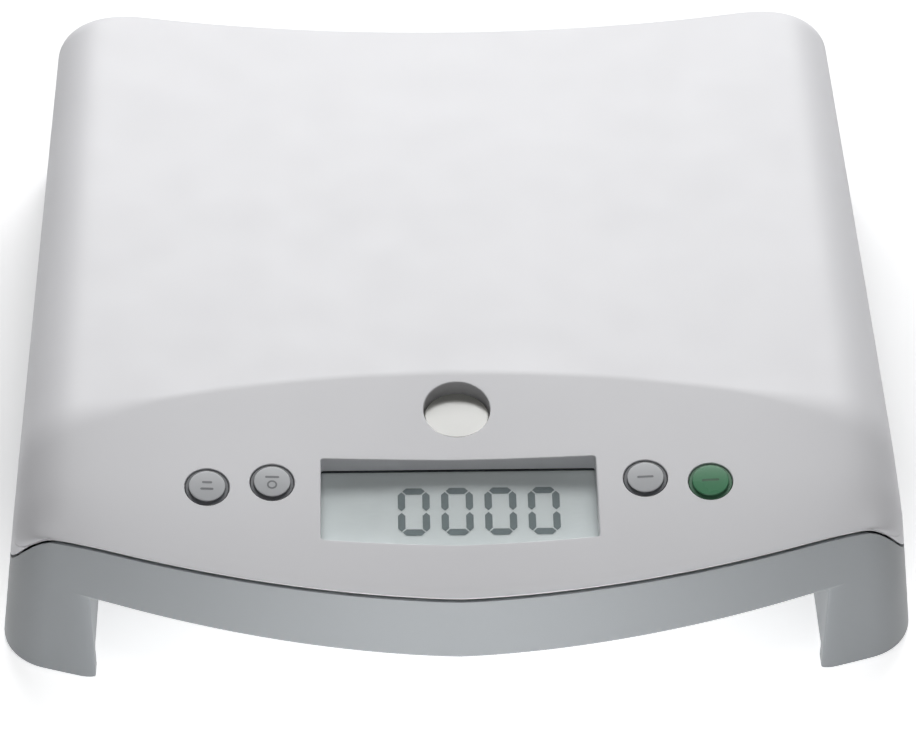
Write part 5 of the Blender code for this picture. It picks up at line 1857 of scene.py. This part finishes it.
def screw_shape(radius, length, recess):
    """Pan-head screw with a cross recess; its head stands on the origin and its shank runs down."""
    head = radius * SCREW_HEAD_SHARE
    thick = radius * SCREW_DOME_SHARE
    dome = [
        (head * math.cos(turn), thick * math.sin(turn))
        for turn in (math.radians(angle) for angle in (88, 70, 52, 36, 20, 0))
    ]
    profile = dome + [(radius, 0.0), (radius, radius - length), (radius / 3, -length)]
    made = turned("screw", profile, steps=SMALL_STEPS)
    arm = head * RECESS_ARM_SHARE
    floor = thick * RECESS_FLOOR_SHARE
    bars = []
    for turn in (0.0, math.pi / 2):
        bar = box("bar", (-arm / 2, -recess / 2, floor), (arm / 2, recess / 2, thick * 2))
        bars.append(placed(bar, Matrix.Rotation(turn, 4, "Z")))
    cut(made, *bars)
    return bevel(made, recess / 12, 1)


def foot_pad(low):
    """Round rubber pad from the height where its studs start up to the leg, with soft edges."""
    top = FOOT_PAD_THICK
    edge = FOOT_PAD_EDGE
    return turned("pad", [
        (POLE_RADIUS, top), (FOOT_PAD_RADIUS - edge / 2, top), (FOOT_PAD_RADIUS, top - edge / 2),
        (FOOT_PAD_RADIUS, low + edge), (FOOT_PAD_RADIUS - edge / 3, low + edge / 3),
        (FOOT_PAD_RADIUS - edge, low), (FOOT_PAD_RADIUS - 2 * edge, low), (POLE_RADIUS, low),
    ])


def pad_studs(fixings, finish):
    """The studs of one pad, pointing down to the floor."""
    inside = FOOT_PAD_RADIUS - 2 * FOOT_PAD_EDGE
    height = fixings.stud_height + CLEAR / 3
    studs = grown("studs", stud_tree(), {
        "Radius": inside, "Rows": 2 * round(inside / fixings.stud_pitch) + 1,
        "Stud Radius": fixings.stud_pitch / 3, "Stud Height": height, "Finish": finish,
    })
    return placed(studs, Matrix.Translation((0.0, 0.0, height)) @ Matrix.Rotation(math.pi, 4, "X"))


class BABYSCALE_OT_fixings(bpy.types.Operator):
    """Screws under the floor plate, foot pads with studs, and the finishes of the inner pieces"""

    bl_idname = "babyscale.fixings"
    bl_label = "Screws, feet and inner pieces"

    def execute(self, context):
        fixings = context.scene.scale_fixings
        plated = steel()
        places = [
            ((x, y, FLOOR_UNDER - CLEAR), (math.pi, 0.0, SCREW_TURN * i))
            for i, (x, y) in enumerate(screw_places())
        ]
        screws = grown("shell_screw_set", places_tree(), {
            "Shape": screw_shape(SHELL_SCREW_RADIUS, SHELL_SCREW_LENGTH, fixings.recess), "Finish": plated,
        }, places)
        dressed(shaded(screws), nodes=nodes_called("shell_screw"))

        black = rubber()
        feet = [((x, y, 0.0), (0.0, 0.0, 0.0)) for _, x, y, _ in foot_places()]
        pads = grown("foot_pad_set", places_tree(), {
            "Shape": foot_pad(fixings.stud_height), "Finish": black,
        }, feet)
        dressed(shaded(pads), nodes=nodes_called("foot_pad"))
        tread = grown("foot_stud_set", places_tree(), {
            "Shape": pad_studs(fixings, black), "Finish": black,
        }, feet)
        dressed(tread)

        grey = grey_abs()
        bar = aluminium()
        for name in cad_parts:
            if name.startswith(("board_screw", "cell_screw", "battery_contact", "release_spring")):
                repaint(name, plated)
            elif name.startswith("load_cell"):
                repaint(name, bar)
            elif name.startswith(("foot_post", "release_guide")):
                repaint(name, grey)
        return {"FINISHED"}


# Batteries and door

def band(name, radius, low, high, edge):
    """Closed round body with soft edges, for a battery's sleeve, shoulder or nub."""
    return turned(name, [
        (POLE_RADIUS, high), (radius - edge, high), (radius - edge / 3, high - edge / 3),
        (radius, high - edge), (radius, low + edge),
        (radius - edge / 3, low + edge / 3), (radius - edge, low), (POLE_RADIUS, low),
    ], steps=SMALL_STEPS)


class BABYSCALE_OT_batteries(bpy.types.Operator):
    """Six batteries: film sleeve, coloured shoulder band and terminals"""

    bl_idname = "babyscale.batteries"
    bl_label = "Batteries"

    def execute(self, context):
        z = FLOOR_UNDER + CELL_CLEAR + CELL_RADIUS
        places = []
        for i in range(CELL_COUNT):
            facing = 1 if i % 2 else -1
            x = (i - (CELL_COUNT - 1) / 2) * CELL_PITCH
            places.append(((x, BAY_Y, z), (-facing * math.pi / 2, 0.0, 0.0)))
        half = CELL_LENGTH / 2
        edge = CELL_NUB / 2
        shoulder_low = half - CELL_LENGTH / 5
        nub = band("nub", CELL_NUB_RADIUS, half - edge, half + CELL_NUB, CELL_NUB / 4)
        sets = (
            ("battery_sleeve_set", band("sleeve", CELL_RADIUS, -half, shoulder_low, edge), "cell_sleeve",
             printed_film("printed_black_film", "17191c", "1f2226")),
            ("battery_band_set", band("shoulder", CELL_RADIUS, shoulder_low, half, edge), "cell_sleeve",
             printed_film("printed_copper_film", "a8693a", "b87a49")),
            ("battery_nub_set", nub, "plated_steel", steel()),
        )
        for name, shape, slot, look in sets:
            made = grown(name, places_tree(), {"Shape": shape, "Finish": look}, places)
            nodes = [f"battery_{i + 1}" for i in range(CELL_COUNT)] if name == "battery_sleeve_set" else ()
            dressed(shaded(made), nodes=nodes)
        return {"FINISHED"}


class BABYSCALE_OT_battery_door(bpy.types.Operator):
    """Battery door with hinge pins, latch tab and grip ridges"""

    bl_idname = "babyscale.battery_door"
    bl_label = "Battery door"

    def execute(self, context):
        hinge_y, hinge_z = hinge_line()
        across = bay_half() + DOOR_LAP
        radius = DOOR_THICK / 2
        length = BAY_LENGTH + 2 * DOOR_LAP
        steps = 16
        outline = []
        for step in range(steps + 1):
            angle = (step / steps - 1 / 2) * math.pi
            outline.append((radius * math.cos(angle), radius * math.sin(angle)))
        outline += [(-length, radius), (-length, -radius)]
        door = loft("battery_door_plate", [[(x, y, z) for y, z in outline] for x in (-across, across)])
        bevel(door, radius / 4)
        pin = prism("pin", circle(PIN_RADIUS, steps=ROD_STEPS), -across - PIN_LENGTH, across + PIN_LENGTH)
        placed(pin, Matrix.Rotation(math.pi / 2, 4, "Y"))
        edge = -length + DOOR_LAP + CLEAR
        half = TAB_WIDTH / 2
        tab = box("tab", (-half, edge, 0.0), (half, edge + TAB_THICK, radius + TAB_HEIGHT))
        bevel(tab, TAB_THICK / 6)
        add(door, pin, tab)
        place = Matrix.Translation((0.0, hinge_y, hinge_z))
        look = grey_abs()
        painted(door, look)
        dressed(shaded(placed(door, place)), "battery_door", ["battery_door"])
        pitch = DOOR_THICK
        ridge = box(
            "ridge", (-TAB_WIDTH, -pitch / 4, -radius - pitch / 6),
            (TAB_WIDTH, pitch / 4, -radius + pitch / 6),
        )
        bevel(ridge, pitch / 8)
        ridges = grown("door_ridge_set", row_tree(), {
            "Shape": ridge, "Count": context.scene.scale_fixings.ridges,
            "Start": (0.0, -length + 2 * pitch, 0.0), "Step": (0.0, pitch, 0.0), "Finish": look,
        })
        dressed(shaded(placed(ridges, place)), "battery_door")
        return {"FINISHED"}


# Stage

def softbox(name, place, aim, size, power):
    """Area light of a width and a height that faces its aim."""
    data = bpy.data.lights.new(name, "AREA")
    data.energy = power
    data.shape = "SQUARE" if size[0] == size[1] else "RECTANGLE"
    data.size, data.size_y = size
    made = bpy.data.objects.new(name, data)
    made.location = place
    made.rotation_euler = (Vector(aim) - Vector(place)).to_track_quat("-Z", "Y").to_euler()
    bpy.context.scene.collection.objects.link(made)


def photo_camera():
    """Camera at the photograph's view: its focal length, height, turn and slight roll."""
    elevation, turn, roll = (math.radians(v) for v in (VIEW_ELEVATION, VIEW_TURN, VIEW_ROLL))
    back = Vector((
        math.sin(turn) * math.cos(elevation), -math.cos(turn) * math.cos(elevation), math.sin(elevation),
    ))
    right = (-back).cross(Vector((0.0, 0.0, 1.0))).normalized()
    up = right.cross(-back)
    across = math.cos(roll) * right + math.sin(roll) * up
    upward = math.cos(roll) * up - math.sin(roll) * right
    place = Vector(VIEW_TARGET) + back * VIEW_DISTANCE
    data = bpy.data.cameras.new("photo_camera")
    data.sensor_fit = "HORIZONTAL"
    data.sensor_width = SENSOR
    data.lens = SENSOR * FOCAL_PIXELS / PHOTO_WIDTH
    data.clip_start = CAMERA_CLIP
    made = bpy.data.objects.new("photo_camera", data)
    made.matrix_world = Matrix((
        (across.x, upward.x, back.x, place.x),
        (across.y, upward.y, back.y, place.y),
        (across.z, upward.z, back.z, place.z),
        (0.0, 0.0, 0.0, 1.0),
    ))
    bpy.context.scene.collection.objects.link(made)
    bpy.context.scene.camera = made


def lit_table(stage):
    """Sheet of matt white acrylic that glows by itself, as if lit from below, more brightly in a pool in
    front of the scale, where the pool's glow lifts the scale's cast shadow.
    """
    made, tree, shader, place = new_material("lit_white_table")
    colour = linear(stage.floor)
    spot = new_node(tree, "ShaderNodeMapping", {
        "Vector": place, "Location": POOL_SHIFT, "Scale": POOL_SCALE,
    })
    reach = new_node(tree, "ShaderNodeVectorMath", {0: spot.outputs["Vector"]}, operation="LENGTH")
    # Painted light: the glow is strongest in a pool where the scale's shadow falls, which lifts that shadow.
    pool = new_node(tree, "ShaderNodeMapRange", {
        "Value": reach.outputs["Value"], "From Min": POOL_INNER, "From Max": POOL_OUTER,
        "To Min": stage.floor_glow + stage.front_glow, "To Max": stage.floor_glow,
    }, interpolation_type="SMOOTHSTEP")
    wired(tree, shader, {
        "Base Color": tone_noise(tree, place, TABLE_PATCH, shifted(colour, -0.01), shifted(colour, 0.01)),
        "Roughness": 0.8,
        "Emission Color": (1.0, 1.0, 1.0, 1.0),
        "Emission Strength": pool.outputs["Result"],
    })
    return made


class BABYSCALE_OT_stage(bpy.types.Operator):
    """Lit table, softboxes, low cards, even light and the camera at the photograph's view"""

    bl_idname = "babyscale.stage"
    bl_label = "Stage"

    def execute(self, context):
        scene = context.scene
        stage = scene.scale_stage
        half = stage.floor_size / 2
        outline = rounded_rectangle(half, half, half / 20)
        floor = prism("floor", outline, -TABLE_THICK, -TABLE_SINK, lit_table(stage))
        photo_camera()
        world = bpy.data.worlds.new("studio")
        world.use_nodes = True
        wired(world.node_tree, world.node_tree.nodes["Background"], {
            "Color": linear("ffffff"), "Strength": stage.sky,
        })
        scene.world = world
        scene.view_settings.view_transform = "Standard"
        for setting, (name, place, aim, size) in LIGHTS.items():
            softbox(name, place, aim, size, getattr(stage, setting))
        return {"FINISHED"}


PIECES = (
    BABYSCALE_OT_stage,
    BABYSCALE_OT_top_shell,
    BABYSCALE_OT_bottom_shell,
    BABYSCALE_OT_display,
    BABYSCALE_OT_keys,
    BABYSCALE_OT_release_button,
    BABYSCALE_OT_fixings,
    BABYSCALE_OT_batteries,
    BABYSCALE_OT_battery_door,
)
SETTINGS = {
    "scale_shell": ShellSettings,
    "scale_display": DisplaySettings,
    "scale_keys": KeySettings,
    "scale_fixings": FixingSettings,
    "scale_stage": StageSettings,
}


class BABYSCALE_PT_pieces(bpy.types.Panel):
    """Lists the pieces and their settings"""

    bl_idname = "BABYSCALE_PT_pieces"
    bl_label = "Baby scale base"
    bl_space_type = "VIEW_3D"
    bl_region_type = "UI"
    bl_category = "Scale"

    def draw(self, context):
        for piece in PIECES:
            self.layout.operator(piece.bl_idname)
        for name, settings in SETTINGS.items():
            held = getattr(context.scene, name)
            for label in settings.__annotations__:
                self.layout.prop(held, label)


def register():
    for settings in SETTINGS.values():
        bpy.utils.register_class(settings)
    for name, settings in SETTINGS.items():
        setattr(bpy.types.Scene, name, bpy.props.PointerProperty(type=settings))
    for piece in (*PIECES, BABYSCALE_PT_pieces):
        bpy.utils.register_class(piece)


def unregister():
    for piece in (*PIECES, BABYSCALE_PT_pieces):
        bpy.utils.unregister_class(piece)
    for name, settings in SETTINGS.items():
        delattr(bpy.types.Scene, name)
        bpy.utils.unregister_class(settings)


def main():
    register()
    bpy.ops.babyscale.stage()
    bpy.ops.babyscale.top_shell()
    bpy.ops.babyscale.bottom_shell()
    bpy.ops.babyscale.display()
    bpy.ops.babyscale.keys()
    bpy.ops.babyscale.release_button()
    bpy.ops.babyscale.fixings()
    bpy.ops.babyscale.batteries()
    bpy.ops.babyscale.battery_door()


if __name__ == "__main__":
    main()
